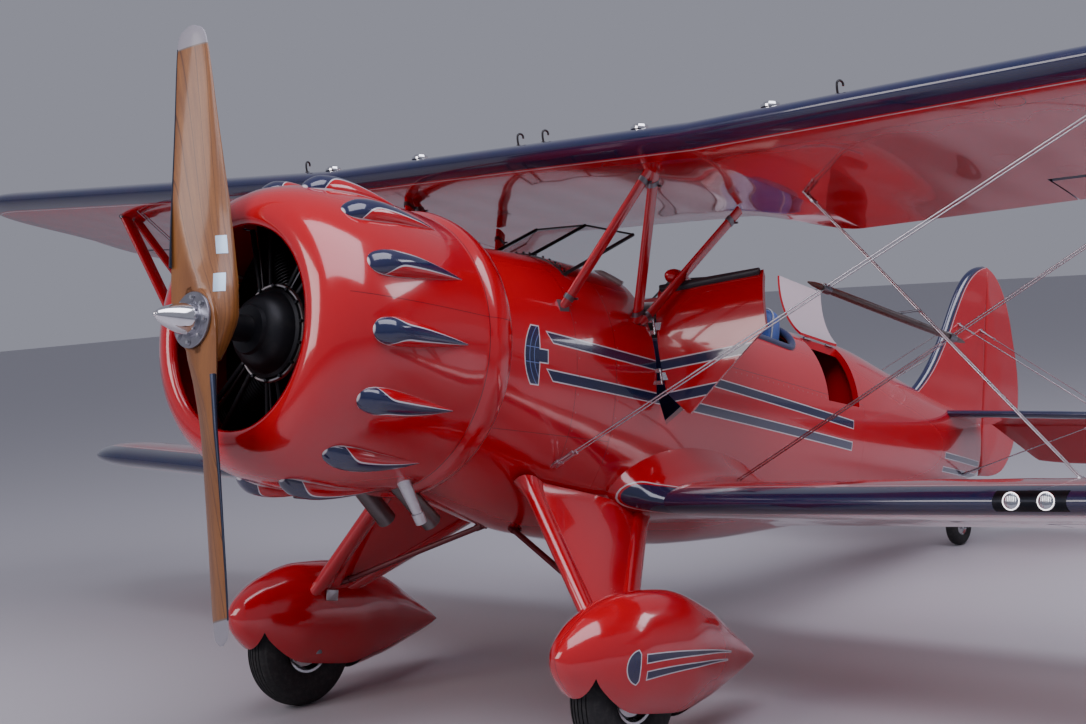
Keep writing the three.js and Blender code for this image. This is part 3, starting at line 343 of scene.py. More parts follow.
class Work:
    """A tree of nodes, with short ways to place them and to join them."""

    def __init__(self, tree):
        self.tree = tree

    def feed(self, socket, value):
        if isinstance(value, Value):
            self.tree.links.new(value.socket, socket)
        elif isinstance(value, tuple) and len(value) == 3 and socket.type == "RGBA":
            socket.default_value = (*value, 1.0)
        elif value is not None:
            socket.default_value = value

    def node(self, kind, inputs=(), output=0, **settings):
        """Adds a node, sets it, feeds its inputs by number or name, and gives one of its outputs."""
        node = self.tree.nodes.new("ShaderNode" + kind)
        for setting, value in settings.items():
            setattr(node, setting, value)
        for socket, value in inputs:
            self.feed(node.inputs[socket], value)
        return Value(self, node.outputs[output])

    def sums(self, operation, *numbers):
        return self.node("Math", enumerate(numbers), operation=operation)

    def below(self, value, edge, soft=0.0008):
        """1 below an edge and 0 above it, soft for a little on each side."""
        ends = (("From Min", edge - soft), ("From Max", edge + soft), ("To Min", 1), ("To Max", 0))
        return self.node("MapRange", (("Value", value), *ends), "Result", interpolation_type="SMOOTHSTEP")

    def above(self, value, edge, soft=0.0008):
        return 1.0 - self.below(value, edge, soft)

    def ramp_of(self, value, low, high):
        """0 below the low value, 1 above the high one, even between them."""
        return self.node("MapRange", (("Value", value), ("From Min", low), ("From Max", high)), "Result")

    def either(self, *masks):
        most = masks[0]
        for mask in masks[1:]:
            most = self.sums("MAXIMUM", most, mask)
        return most

    def band(self, value, middle, half, soft=0.0008):
        return self.below(abs(value - middle), half, soft)

    def noise(self, place, scale, detail=3.0, roughness=0.5):
        settings = (("Vector", place), ("Scale", scale), ("Detail", detail), ("Roughness", roughness))
        return self.node("TexNoise", settings, "Fac")

    def stretched(self, place, factors):
        return self.node("Mapping", (("Vector", place), ("Scale", Vector(factors))))

    def bump(self, height, strength, distance=0.001):
        return self.node("Bump", (("Strength", strength), ("Distance", distance), ("Height", height)))


class Finish(Work):
    """A material. Colours are laid over its base until it is done."""

    def __init__(self, name, colour, **sockets):
        self.material = bpy.data.materials.new(name)
        self.material.use_nodes = True
        super().__init__(self.material.node_tree)
        self.shader = self.tree.nodes["Principled BSDF"]
        self.base = (*colour, 1.0)
        self.shader.inputs["Base Color"].default_value = self.base
        for socket, value in sockets.items():
            self.shader.inputs[socket.replace("_", " ")].default_value = value

    def over(self, mask, colour):
        """Lays a colour over what is there, where the mask is 1."""
        self.base = self.node("Mix", ((0, mask), (6, self.base), (7, colour)), 2, data_type="RGBA")

    def object_place(self):
        return self.node("TexCoord", output="Object")

    def level_place(self):
        """Object coordinates, turned back to the level aircraft."""
        back = parked.inverted()
        return self.node("Mapping", (
            ("Location", back.translation), ("Rotation", back.to_euler()), ("Vector", self.object_place())))

    def split(self, vector):
        first = self.node("SeparateXYZ", ((0, vector),))
        return [Value(self, part) for part in first.socket.node.outputs]

    def map_named(self, name):
        return self.split(self.node("UVMap", uv_map=name))

    def film(self, gloss, dust, peel, grain=240.0):
        """The shared film of orange peel and dust: its roughness, its dust and its normal."""
        node = self.tree.nodes.new("ShaderNodeGroup")
        node.node_tree = sprayed_film
        given = {"Place": self.object_place(), "Peel": peel, "Grain": grain, "Gloss": gloss, "Dust": dust}
        for socket, value in given.items():
            self.feed(node.inputs[socket], value)
        return [Value(self, node.outputs[name]) for name in ("Roughness", "Dusty", "Normal")]

    def done(self, normal=None, roughness=None):
        if isinstance(self.base, Value):
            self.feed(self.shader.inputs["Base Color"], self.base)
        self.feed(self.shader.inputs["Normal"], normal)
        self.feed(self.shader.inputs["Roughness"], roughness)
        return self.material


def weathering_group():
    """Orange peel, a light film of dust and faint rubbed patches, for anything sprayed or bare."""
    tree = bpy.data.node_groups.new("sprayed film", "ShaderNodeTree")
    add = tree.interface.new_socket
    add("Place", in_out="INPUT", socket_type="NodeSocketVector")
    for name, value in (("Peel", 0.05), ("Grain", 240.0), ("Gloss", 0.12), ("Dust", 0.1)):
        add(name, in_out="INPUT", socket_type="NodeSocketFloat").default_value = value
    add("Roughness", in_out="OUTPUT", socket_type="NodeSocketFloat")
    add("Dusty", in_out="OUTPUT", socket_type="NodeSocketFloat")
    add("Normal", in_out="OUTPUT", socket_type="NodeSocketVector")
    work = Work(tree)
    given, out = tree.nodes.new("NodeGroupInput").outputs, tree.nodes.new("NodeGroupOutput").inputs
    place, peel, grain, gloss, dust = (
        Value(work, given[name]) for name in ("Place", "Peel", "Grain", "Gloss", "Dust"))
    work.feed(out["Normal"], work.bump(work.noise(place, grain, 1.0), peel, 0.0006))
    dusty = work.ramp_of(work.noise(place, 5.0, 6.0, 0.65), 0.42, 0.72) * dust
    work.feed(out["Dusty"], dusty)
    work.feed(out["Roughness"], gloss + dusty)
    return tree


sprayed_film = weathering_group()
RED = (0.46, 0.0015, 0.0085)
NAVY = (0.01, 0.016, 0.06)
PIN_LINE = (0.6, 0.58, 0.6)


def sprayed(name, colour=RED, pattern=None, gloss=0.14, dust=0.1):
    """Gloss paint under a clear coat. A pattern paints its colours on the finish and may return a bump."""
    finish = Finish(name, colour, Coat_Weight=0.85, Coat_Roughness=0.035, IOR=1.5)
    normal = pattern(finish) if pattern else None
    roughness, dusty, peeled = finish.film(gloss, dust, 0.05)
    finish.over(dusty * 0.5, (0.22, 0.03, 0.04))
    return finish.done(peeled if normal is None else normal, roughness)


def cowl_pattern(finish):
    """The seams of the cowling's side panels and of its rear band."""
    x, _, z = finish.split(finish.level_place())
    seam = finish.band(z, 0.13, 0.0016) * finish.below(x, -0.3, 0.002)
    rear = finish.band(x, -1.018, 0.0016)
    finish.over(finish.either(seam * 0.75, rear), (0.03, 0.002, 0.004))


cowl_profile = [
    (-0.26, 0.43), (-0.244, 0.406), (-0.226, 0.399), (-0.208, 0.408), (-0.2, 0.432),
    (-0.206, 0.466), (-0.225, 0.503), (-0.26, 0.537), (-0.315, 0.567), (-0.39, 0.589),
    (-0.49, 0.604), (-0.62, 0.612), (-0.76, 0.609), (-0.9, 0.6), (-1.004, 0.5915),
    (-1.02, 0.5925), (-1.04, 0.605), (-1.07, 0.611), (-1.11, 0.606), (-1.144, 0.595),
    (-1.15, 0.591), (-1.146, 0.588), (-1.1, 0.586), (-0.9, 0.589), (-0.69, 0.599),
    (-0.58, 0.599), (-0.4, 0.576), (-0.31, 0.546), (-0.268, 0.5), (-0.26, 0.43)]
red_cowl = sprayed("red cowling", pattern=cowl_pattern)
cowl = piece(
    "cowling_skin", spun(cowl_profile, 144), [red_cowl], stands_for=["cowling"], crease=50, slot="red_paint")


def rod(start, end, radius, sides=16, tip=None):
    """A straight round bar, its ends closed. It tapers where the tip radius differs."""
    start, end = Vector(start), Vector(end)
    mesh = blank()
    run = end - start
    bmesh.ops.create_cone(
        mesh, cap_ends=True, segments=sides, radius1=radius, radius2=radius if tip is None else tip,
        depth=run.length, matrix=Matrix.Translation((start + end) / 2)
        @ run.to_track_quat("Z", "Y").to_matrix().to_4x4())
    return mesh


EXHAUST_LINES = [((-0.905, y, -0.47), (-1.215, y * 1.15, -0.7)) for y in (0.12, -0.12)]
carved(cowl, [rod(start, end, 0.052, 24) for start, end in EXHAUST_LINES])


def blister_pattern(finish):
    """Navy head and ridge inside silver pin lines, on red flanks with a fine line round their foot."""
    across, along, _ = finish.map_named("skin")
    out = abs(across * 2.0 - 1.0)
    ridge = 0.3
    sweep = (1.0 - finish.ramp_of(along, 0.11, 0.3)) ** 2.6
    edge = ridge + sweep * (1.05 - ridge)
    finish.over(finish.above(out, 0.945, 0.012) * 0.6, PIN_LINE)
    finish.over(finish.below(out, edge + 0.075, 0.012), PIN_LINE)
    finish.over(finish.below(out, edge, 0.012), NAVY)
    rim = finish.either(finish.above(out, 0.93, 0.012), finish.below(along, 0.012, 0.003))
    finish.over(rim * finish.below(along, 0.2, 0.03), PIN_LINE)


BLISTERS = 14
BLISTER_START, BLISTER_RUN = -0.385, 0.51
blister_paint = sprayed("blister paint", pattern=blister_pattern)
blister_widths = [(0.0, 0.006), (0.02, 0.026), (0.06, 0.043), (0.13, 0.053), (0.22, 0.056), (0.35, 0.052),
                  (0.6, 0.036), (0.85, 0.015), (1.0, 0.001)]
blister_heights = [(0.0, 0.0), (0.02, 0.016), (0.06, 0.034), (0.14, 0.05), (0.25, 0.053), (0.45, 0.044),
                   (0.7, 0.027), (0.9, 0.01), (1.0, 0.001)]
cowl_outside = [(x, r) for x, r in cowl_profile[7:15]]


def blister(angle):
    def shape(u, w):
        half, = between(blister_widths, w)
        rise, = between(blister_heights, w)
        x = BLISTER_START - BLISTER_RUN * w
        skin, = between(cowl_outside, x)
        side = half * math.cos(math.pi * (1 - u))
        out = skin - 0.003 - side ** 2 / (2 * skin) + rise * math.sin(math.pi * u) ** 0.85
        return Vector((
            x, out * math.sin(angle) + side * math.cos(angle),
            out * math.cos(angle) - side * math.sin(angle)))
    return sewn(grid_skin(shape, 32, 60))


piece(
    "cowl_blisters", gather(*(blister(2 * math.pi * (k + 0.5) / BLISTERS) for k in range(BLISTERS))),
    [blister_paint], crease=70, slot="red_paint")


# The radial engine sits in the cowling behind its baffles: seven finned cylinders, a crankcase nose
# with a bright ring, pushrod tubes and a pressed black baffle. Cast alloy, painted and oily black.

def metal(name, colour, gloss, grain=90.0, peel=0.05, dust=0.12, tint=(0.1, 0.09, 0.08), metallic=1.0):
    """Bare or painted metal with oily patches, fine tool grain and rubbed places."""
    finish = Finish(name, colour, Metallic=metallic)
    roughness, _, peeled = finish.film(gloss, dust, peel, grain)
    stain = finish.noise(finish.object_place(), 14.0, 6.0, 0.7)
    finish.over(finish.ramp_of(stain, 0.5, 0.8) * 0.5, tint)
    return finish.done(peeled, roughness)


engine_black = metal("engine black", (0.012, 0.013, 0.017), 0.42, metallic=0.4, tint=(0.05, 0.045, 0.04))
engine_alloy = metal("cast alloy", (0.075, 0.076, 0.085), 0.38, tint=(0.03, 0.025, 0.02))
bright_ring = metal("bright ring", (0.66, 0.62, 0.6), 0.3)
crankcase = spun([
    (-0.15, 0.0), (-0.15, 0.052), (-0.262, 0.054), (-0.268, 0.094), (-0.284, 0.1), (-0.296, 0.126),
    (-0.33, 0.15), (-0.372, 0.166), (-0.38, 0.178), (-0.396, 0.18), (-0.402, 0.196), (-0.47, 0.204),
    (-0.638, 0.204), (-0.638, 0.0)], 64)
case_ring = finished_in(spun([
    (-0.394, 0.181), (-0.386, 0.186), (-0.386, 0.193), (-0.394, 0.197), (-0.402, 0.195),
    (-0.394, 0.181)], 64), 2)
barrel = [(0.0, 0.062)]
for fin in range(24):
    start = 0.004 + fin * 0.0135
    reach = 0.088 if fin < 16 else 0.104
    barrel += [(start, 0.066), (start + 0.001, reach), (start + 0.004, reach), (start + 0.005, 0.066)]
barrel += [(0.332, 0.062), (0.345, 0.0)]
cylinders = []
for k in range(7):
    turn = Matrix.Rotation(2 * math.pi * (k + 0.5) / 7, 4, "X")
    cylinder = spun(barrel, 20)
    cylinder.transform(turn @ Matrix.Translation((-0.585, 0, 0.205)) @ Matrix.Rotation(-math.pi / 2, 4, "Y"))
    cylinders.append(finished_in(cylinder, 1))
    for side in (-1, 1):
        tube = rod((-0.412, 0.03 * side, 0.175), (-0.48, 0.062 * side, 0.52), 0.011, 12)
        tube.transform(turn)
        cylinders.append(finished_in(tube, 0))
    lead = rod((-0.402, 0.0, 0.19), (-0.455, 0.0, 0.5), 0.006, 8)
    lead.transform(turn)
    cylinders.append(finished_in(lead, 1))
baffle_plate = spun([(-0.642, 0.2), (-0.64, 0.595), (-0.655, 0.596), (-0.657, 0.2), (-0.642, 0.2)], 56)
nose_bolts = [finished_in(rod((-0.396, y, z), (-0.376, y, z), 0.0075, 6), 1) for y, z in ring_of(14, 0.188)]
piece(
    "engine", gather(finished_in(crankcase, 0), case_ring, baffle_plate, *nose_bolts, *cylinders),
    [engine_black, engine_alloy, bright_ring], stands_for=["engine_block"], crease=35, slot="dark_metal")

# The exhaust leaves under the cowling's rear edge: two rolled steel outlets, blued and sooty, a pale
# tapered drain cone beside them and a small black breather box under the lip.
exhaust_steel = metal("heat stained steel", (0.16, 0.14, 0.14), 0.36, tint=(0.07, 0.045, 0.03), dust=0.2)
pale_alloy = metal("pale alloy", (0.55, 0.54, 0.56), 0.34)
outlets = []
for start, end in EXHAUST_LINES:
    run = Vector(end) - Vector(start)
    tail = spun([
        (0.0, 0.036), (0.1, 0.04), (0.3, 0.042), (run.length, 0.043), (run.length, 0.0395),
        (0.3, 0.0385), (0.1, 0.0365), (0.0, 0.036)], 32)
    tail.transform(
        Matrix.Translation(start) @ Vector((1, 0, 0)).rotation_difference(run).to_matrix().to_4x4())
    outlets.append(tail)
    outlets.append(rod((start[0] - 0.02, start[1], -0.47), (-0.8603, start[1], -0.47), 0.04, 24))
outlets.append(finished_in(rod((-0.93, 0.235, -0.53), (-1.02, 0.245, -0.665), 0.03, 24, tip=0.021), 1))
outlets.append(finished_in(rod((-1.02, 0.245, -0.665), (-1.045, 0.248, -0.705), 0.026, 24, tip=0.024), 1))
outlets.append(rod((-0.86, 0.05, -0.53), (-0.86, -0.05, -0.53), 0.03, 20))
piece(
    "exhaust_pipes", gather(*outlets), [exhaust_steel, pale_alloy], stands_for=["exhaust_outlets"],
    crease=40, slot="dark_metal")
breather = blank()
bmesh.ops.create_cube(
    breather, size=1, matrix=Matrix.Translation((-0.7, -0.07, -0.622))
    @ Matrix.Diagonal((0.1, 0.07, 0.035, 1)))
piece("breather_box", bevelled(breather, 0.008, 3), [engine_black], crease=60, slot="dark_metal")

# The propeller is carved from laminated hardwood and varnished, with a grey fabric and resin sheath
# over each tip, a dark metal strip let into the lower part of the leading edge, and blank labels.
PROPELLER_SET = math.radians(-12)
blade_stages = [
    (-0.15, 0.1, 0.1, 26), (-0.1, 0.17, 0.11, 26), (-0.05, 0.225, 0.118, 26), (0.0, 0.27, 0.118, 26),
    (0.11, 0.29, 0.105, 28), (0.23, 0.278, 0.078, 30), (0.4, 0.252, 0.052, 30),
    (0.62, 0.22, 0.036, 26), (0.85, 0.187, 0.025, 22), (1.05, 0.161, 0.017, 18), (1.165, 0.136, 0.012, 16),
    (1.205, 0.094, 0.009, 15), (1.219, 0.03, 0.006, 15)]
BLADE_LENGTH = 1.219
BLADE_ROOT = 0.15
BLADE_MIDDLE = -0.072
BLOCK_REAR, BLOCK_FACE = -0.1315, -0.0125
TIP_SHEATH = 0.9332
swing = Matrix.Rotation(-PROPELLER_SET, 4, "X")


def on_blade(side, radius, turn, wider=0.0, thicker=0.0, lift=0.0):
    """A place at an angle round a blade's section, which is fuller in front and by its leading edge."""
    chord, thick, twist = between(blade_stages, radius)
    twist = math.radians(twist)
    along = (chord / 2 + wider) * math.cos(turn)
    front = (thick / 2 + thicker) * math.sin(turn) * (1.3 if math.sin(turn) > 0 else 0.7)
    front = front * (1 - 0.25 * math.cos(turn)) + lift
    y = side * (front * math.sin(twist) - along * math.cos(twist))
    return Vector((BLADE_MIDDLE + along * math.sin(twist) + front * math.cos(twist), y, side * radius))


def blade(side):
    def shape(u, w):
        place = on_blade(side, (BLADE_LENGTH + BLADE_ROOT) * w - BLADE_ROOT, 2 * math.pi * u)
        place.x = min(max(place.x, BLOCK_REAR), BLOCK_FACE)
        return place
    return sewn(grid_skin(shape, 48, 80))


def wood_pattern(finish):
    """Glue lines of the laminations, which lie across the shaft, and long fine grain along the blade."""
    out = finish.map_named("skin")[1]
    place = finish.level_place()
    x = finish.split(place)[0]
    wander = finish.noise(finish.stretched(place, (3.0, 3.0, 0.5)), 2.0, 2.0)
    layer = ((x + wander * 0.006) / 0.0165).fract()
    shade = finish.noise(finish.stretched(place, (60.0, 4.0, 0.6)), 3.0, 2.0)
    grain = finish.noise(finish.stretched(place, (260.0, 260.0, 7.0)), 2.0, 6.0, 0.65)
    finish.over(finish.ramp_of(shade, 0.3, 0.7), (0.17, 0.058, 0.013))
    finish.over(finish.ramp_of(grain, 0.5, 0.72) * 0.55, (0.085, 0.027, 0.006))
    finish.over(finish.below(layer, 0.075, 0.03) * 0.7, (0.055, 0.016, 0.005))
    tip = finish.above(out, TIP_SHEATH, 0.0015)
    finish.over(tip, (0.24, 0.23, 0.26))
    finish.over(finish.band(out, TIP_SHEATH, 0.0022, 0.001), (0.14, 0.1, 0.08))
    return finish.bump(grain, 0.06, 0.0006)


varnished = Finish("varnished wood", (0.26, 0.1, 0.024), Coat_Weight=0.38, Coat_Roughness=0.1, Roughness=0.42)
varnished_wood = varnished.done(wood_pattern(varnished))
sheath_metal = metal("sheath strip", (0.02, 0.028, 0.055), 0.28, metallic=0.6, tint=(0.05, 0.05, 0.06))
label_foil = metal("blank label", (0.42, 0.55, 0.66), 0.32, metallic=0.7, tint=(0.3, 0.4, 0.5))
boss = spun(
    [(-0.132, 0.0), (-0.132, 0.098), (-0.125, 0.106), (-0.02, 0.106), (-0.0122, 0.099), (-0.0122, 0.0)], 64)
blades = gather(blade(1), blade(-1), boss)


def thickened(mesh, depth):
    """Gives a sheet its thickness, so that it is closed all round."""
    bmesh.ops.recalc_face_normals(mesh, faces=mesh.faces)
    bmesh.ops.solidify(mesh, geom=mesh.faces[:], thickness=depth)
    return outward(mesh)


def sheath(side):
    """The metal strip wraps the leading edge from a fifth of the blade to its tip sheath."""
    def shape(u, w):
        return on_blade(side, 0.235 + 0.9 * w, (u - 0.62) * 1.05, wider=0.0008, thicker=0.001)
    return thickened(grid_skin(shape, 12, 60), 0.0006)


def label(radius, along_part, height, width):
    """A small blank foil plate on the front face of the upper blade."""
    def shape(u, w):
        out = radius + height * (w - 0.5)
        chord, _, _ = between(blade_stages, out)
        along = chord * along_part + width * (u - 0.5)
        place = on_blade(1, out, math.acos(max(-1, min(1, along / (chord / 2)))), lift=0.0006)
        place.x = min(place.x, BLOCK_FACE + 0.0005)
        return place
    return thickened(grid_skin(shape, 4, 4), 0.0004)


blades.transform(swing)
piece(
    "propeller_wood", blades, [varnished_wood], body="propeller", stands_for=["propeller_blades"],
    crease=50, slot="varnished_wood")
strips = gather(sheath(1), sheath(-1))
strips.transform(swing)
piece("propeller_sheath", strips, [sheath_metal], body="propeller", crease=70, slot="dark_metal")
labels = gather(label(0.285, -0.34, 0.075, 0.042), label(0.13, -0.3, 0.075, 0.045))
labels.transform(swing)
piece("propeller_labels", labels, [label_foil], body="propeller", slot="bare_metal")

# The hub plate clamps the wood with a ring of bolts and carries the polished bullet spinner.
polished = metal(
    "polished alloy", (0.78, 0.78, 0.8), 0.09, grain=30.0, peel=0.02, dust=0.06, tint=(0.5, 0.5, 0.52))
plate_grey = metal("hub plate", (0.28, 0.28, 0.32), 0.32, tint=(0.12, 0.12, 0.14))
bullet = [(0.004, 0.06), (0.018, 0.062), (0.032, 0.06), (0.06, 0.0555), (0.09, 0.047), (0.115, 0.0385),
          (0.138, 0.0275), (0.153, 0.018), (0.16, 0.0115), (0.1615, 0.009), (0.166, 0.0085), (0.169, 0.005),
          (0.1695, 0.0)]
hub_parts = [
    spun(bullet, 64),
    finished_in(spun([(-0.0117, 0.0), (-0.0117, 0.106), (-0.01, 0.108), (-0.002, 0.108), (0.0, 0.106),
                      (0.0, 0.07), (0.004, 0.066), (0.004, 0.0)], 64), 1)]
for y, z in ring_of(8, 0.086):
    hub_parts.append(finished_in(rod((-0.001, y, z), (0.0025, y, z), 0.0125, 24), 1))
    hub_parts.append(rod((0.002, y, z), (0.011, y, z), 0.008, 6))
piece(
    "propeller_hub_plate", gather(*hub_parts), [polished, plate_grey], body="propeller",
    stands_for=["propeller_hub"], crease=35, slot="polished_metal")


# The fuselage is a welded steel tube frame. Formed alloy panels cover it as far as the rear cockpit,
# held on by rows of screws, and doped fabric over wooden stringers covers it from there to the tail.

# Columns: distance forward, half width, top, bottom, height of the widest point
hull_stations = [
    (-1.12, 0.5, 0.5, -0.56, -0.02), (-1.5, 0.52, 0.522, -0.655, -0.05),
    (-1.9, 0.53, 0.537, -0.73, -0.07), (-2.3, 0.53, 0.535, -0.755, -0.08),
    (-2.8, 0.505, 0.508, -0.745, -0.08), (-3.3, 0.47, 0.478, -0.705, -0.08),
    (-3.8, 0.425, 0.47, -0.64, -0.075), (-4.3, 0.37, 0.462, -0.568, -0.065),
    (-5.0, 0.275, 0.366, -0.45, -0.04), (-5.7, 0.165, 0.262, -0.325, -0.01),
    (-6.33, 0.045, 0.205, -0.18, 0.01)]
HULL_POWER = 2.2


def hull_place(x, turn):
    """A place on the hull at an angle round it, from port over the top."""
    half, top, bottom, middle = between(hull_stations, x)
    c, s = math.cos(turn), math.sin(turn)
    reach = top - middle if s > 0 else middle - bottom
    return Vector((
        x, half * math.copysign(abs(c) ** (2 / HULL_POWER), c),
        middle + reach * math.copysign(abs(s) ** (2 / HULL_POWER), s)))


def hull_width(x, z):
    half, top, bottom, middle = between(hull_stations, x)
    reach = top - middle if z > middle else middle - bottom
    return half * max(0.0, 1 - min(1.0, abs((z - middle) / reach)) ** HULL_POWER) ** (1 / HULL_POWER)


def hull_top(x, y):
    half, top, _, middle = between(hull_stations, x)
    return middle + (top - middle) * (1 - min(1.0, abs(y / half)) ** HULL_POWER) ** (1 / HULL_POWER)


def hull_skin(front, rear, rows):
    skin = grid_skin(lambda u, w: hull_place(front + (rear - front) * w, 2 * math.pi * u), 112, rows)
    return mapped(skin, "side", lambda place, uv: (place.x, place.z))


def far(a, b):
    """How far a place in a material's tree is, from how far it is each way."""
    return (a * a + b * b).root()


def dots(finish, a, b, step, line, radius, soft=0.0006):
    """Small round marks a step apart along a, where b is at a line."""
    return finish.below(far(((a / step).fract() - 0.5) * step, b - line), radius, soft)


def hull_pattern(finish):
    """Two navy stripes with silver edges along each side, a plain half moon ahead of them, two short
    stripes by the tail, and panel seams with rows of screws."""
    x, z, _ = finish.map_named("side")
    seams, heads = [], []
    for seam in (-1.178, -1.64, -1.905):
        seams.append(finish.band(x, seam, 0.0012, 0.0006) * finish.above(z, -0.4))
        heads.append(dots(finish, z, x, 0.078, seam - 0.016, 0.0042) * finish.above(z, -0.4))
    strip_line = 0.212 + x * 0.033
    strip = finish.below(x, -2.86) * finish.above(x, -4.29)
    heads.append(dots(finish, x, z - strip_line, 0.052, 0.0, 0.0042) * strip)
    seams.append(finish.band(z - strip_line, 0.02, 0.0012, 0.0006) * strip)
    seams.append(finish.band(z, -0.3, 0.0012, 0.0006) * finish.above(x, -1.905))
    seam, head = finish.either(*seams), finish.either(*heads)
    finish.over(seam * 0.8, (0.05, 0.002, 0.004))
    # Columns: front, rear, height at the front, fall for each metre aft, half width, front slant
    for front, rear, height, fall, half, slant in (
            (-1.475, -4.15, 0.107, 0.0513, 0.019, 0.9), (-1.475, -4.145, -0.054, 0.035, 0.02, 0.9),
            (-5.6, -6.3, -0.093, 0.015, 0.015, 0.0), (-5.6, -6.3, -0.178, 0.008, 0.012, 0.0)):
        middle = (x - front) * fall + height
        off = abs(z - middle)
        ahead_of = front + (z - middle) * slant
        for colour, grow in ((PIN_LINE, 0.0052), (NAVY, 0.0)):
            ends = finish.below(x, ahead_of + grow) * finish.above(x, rear - grow)
            finish.over(finish.below(off, half + grow) * ends, colour)
    moon_x, moon_z = -1.52, 0.022
    rise = abs(z - moon_z)
    bow = ((x - moon_x) ** 2.0 + rise * rise).root()
    for colour, grow in ((PIN_LINE, 0.005), (NAVY, 0.0)):
        moon = finish.below(bow, 0.2 + grow) * finish.above(x, -1.405 - grow)
        moon = moon * finish.below(rise, 0.122 + grow)
        stem = finish.below(rise, 0.026 + grow) * finish.below(x, -1.4) * finish.above(x, -1.455 - grow)
        finish.over(finish.either(moon, stem), colour)
    plume = finish.either(
        finish.band(bow, 0.174, 0.0016), finish.band(bow, 0.147, 0.0016), finish.band(rise, 0.032, 0.0016))
    finish.over(plume * moon, (0.13, 0.19, 0.38))
    finish.over(head * 0.55, (0.3, 0.1, 0.11))
    return finish.bump(head - seam * 1.5, 0.5, 0.0008)


red_hull = sprayed("red hull", pattern=hull_pattern)
cabin_lining = metal("cockpit lining", (0.03, 0.034, 0.045), 0.55, metallic=0.1, tint=(0.05, 0.05, 0.06))
piece(
    "forward_fuselage_skin", sewn(hull_skin(-1.121, -1.8996, 27)), [red_hull],
    stands_for=["forward_fuselage"], slot="red_paint")
piece(
    "rear_fuselage_skin", sewn(hull_skin(-4.3004, -6.33, 64)), [red_hull], stands_for=["rear_fuselage"],
    slot="red_fabric")

# Columns: front, rear, half width, corner
COCKPITS = ((-2.15, -2.875, 0.35, 0.15), (-3.075, -3.72, 0.325, 0.17))


def rounded_outline(front, rear, half, corner, steps=10):
    """The plan of a cockpit opening, from its rear port corner round by starboard."""
    found = []
    for cx, cy, begin in (
            (rear + corner, half - corner, 90), (rear + corner, corner - half, 180),
            (front - corner, corner - half, 270), (front - corner, half - corner, 0)):
        for k in range(steps + 1):
            a = math.radians(begin + 90 * k / steps)
            found.append((cx + corner * math.cos(a), cy + corner * math.sin(a)))
    return found


def prism(outline, low, high, axis="Z"):
    """A closed block on an outline. It stands on the X-Y plane, or lies across from the X-Z plane."""
    mesh = blank()
    spot = (lambda a, b, h: (a, b, h)) if axis == "Z" else (lambda a, b, h: (a, h, b))
    face = mesh.faces.new([mesh.verts.new(spot(a, b, low)) for a, b in outline])
    grown = bmesh.ops.extrude_face_region(mesh, geom=[face], use_keep_orig=True)
    moved = [part for part in grown["geom"] if isinstance(part, bmesh.types.BMVert)]
    bmesh.ops.translate(mesh, verts=moved, vec=Vector(spot(0, 0, high - low)))
    bmesh.ops.recalc_face_normals(mesh, faces=mesh.faces)
    return mesh


def block(x0, x1, y0, y1, z0, z1):
    mesh = blank()
    bmesh.ops.create_cube(
        mesh, size=1, matrix=Matrix.Translation(((x0 + x1) / 2, (y0 + y1) / 2, (z0 + z1) / 2))
        @ Matrix.Diagonal((x1 - x0, y1 - y0, z1 - z0, 1)))
    return mesh


def smoothed(made, crease=40):
    made.data.shade_smooth()
    made.data.set_sharp_from_angle(angle=math.radians(crease))
    return made


def cockpit_plug(number):
    return prism(rounded_outline(*COCKPITS[number]), 0.2, 0.7)


DOOR = [(-2.214, 0.7), (-2.214, -0.058), (-2.289, -0.168), (-2.3, -0.1745), (-2.312, -0.1665),
        (-2.738, 0.118), (-2.744, 0.7)]
DOOR_HOLE = [(-2.196, 0.7), (-2.196, -0.056), (-2.287, -0.192), (-2.745, 0.114), (-2.751, 0.7)]
HATCH = (-4.23, -3.86, 0.205, 0.7, 0.08, 0.7)
GAP = 0.006
CABIN_WALL = 0.035


def cabin_shell(name, stands_for=(), depth=CABIN_WALL, lining=None):
    """The skin round both cockpits with the thickness of its frame and lining."""
    made = piece(
        name, sewn(hull_skin(-1.9004, -4.2996, 80), closed=False), [red_hull, lining or cabin_lining],
        stands_for=stands_for)
    wall = made.modifiers.new("wall", "SOLIDIFY")
    wall.thickness = depth
    wall.offset = -1
    wall.material_offset = 1
    return settled(made)


cabin = cabin_shell(
    "cabin_skin", ["cockpit_deck", "left_cockpit_side", "right_cockpit_side", "cockpit_belly"])
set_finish(cabin, "red_paint")
hatch_hole = block(HATCH[0] - GAP, HATCH[1] + GAP, HATCH[2] - GAP, 0.7, HATCH[4] - GAP, 0.7)
carved(cabin, [cockpit_plug(0), cockpit_plug(1), prism(DOOR_HOLE, 0.2, 0.7, axis="Y"), hatch_hole])
smoothed(cabin, 35)

# The passenger door has a formed alloy skin with the stripes carried across it, a lined inner face and
# a rolled edge. It hangs on two hinges on its front edge and stands open.
door = cabin_shell("passenger_door_panel", ["passenger_door"], 0.024)
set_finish(door, "red_paint")
carved(door, [prism(DOOR, 0.2, 0.7, axis="Y")], keep="INTERSECT")
carved(door, [cockpit_plug(0)])
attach(door, "passenger_door")


def swung(hinge, degrees):
    """Turns a closed panel about its hinge line, in the parked aircraft."""
    start, end = (Vector(point) for point in hinge)
    turn = Matrix.Rotation(math.radians(degrees), 4, (end - start).normalized())
    return parked @ Matrix.Translation(start) @ turn @ Matrix.Translation(-start) @ parked.inverted()


DOOR_HINGE = ((-2.21, 0.557, -0.05), (-2.21, 0.463, 0.33))
DOOR_OPEN = 80
door_open = swung(DOOR_HINGE, -DOOR_OPEN)
door.data.transform(door_open)
smoothed(door, 35)

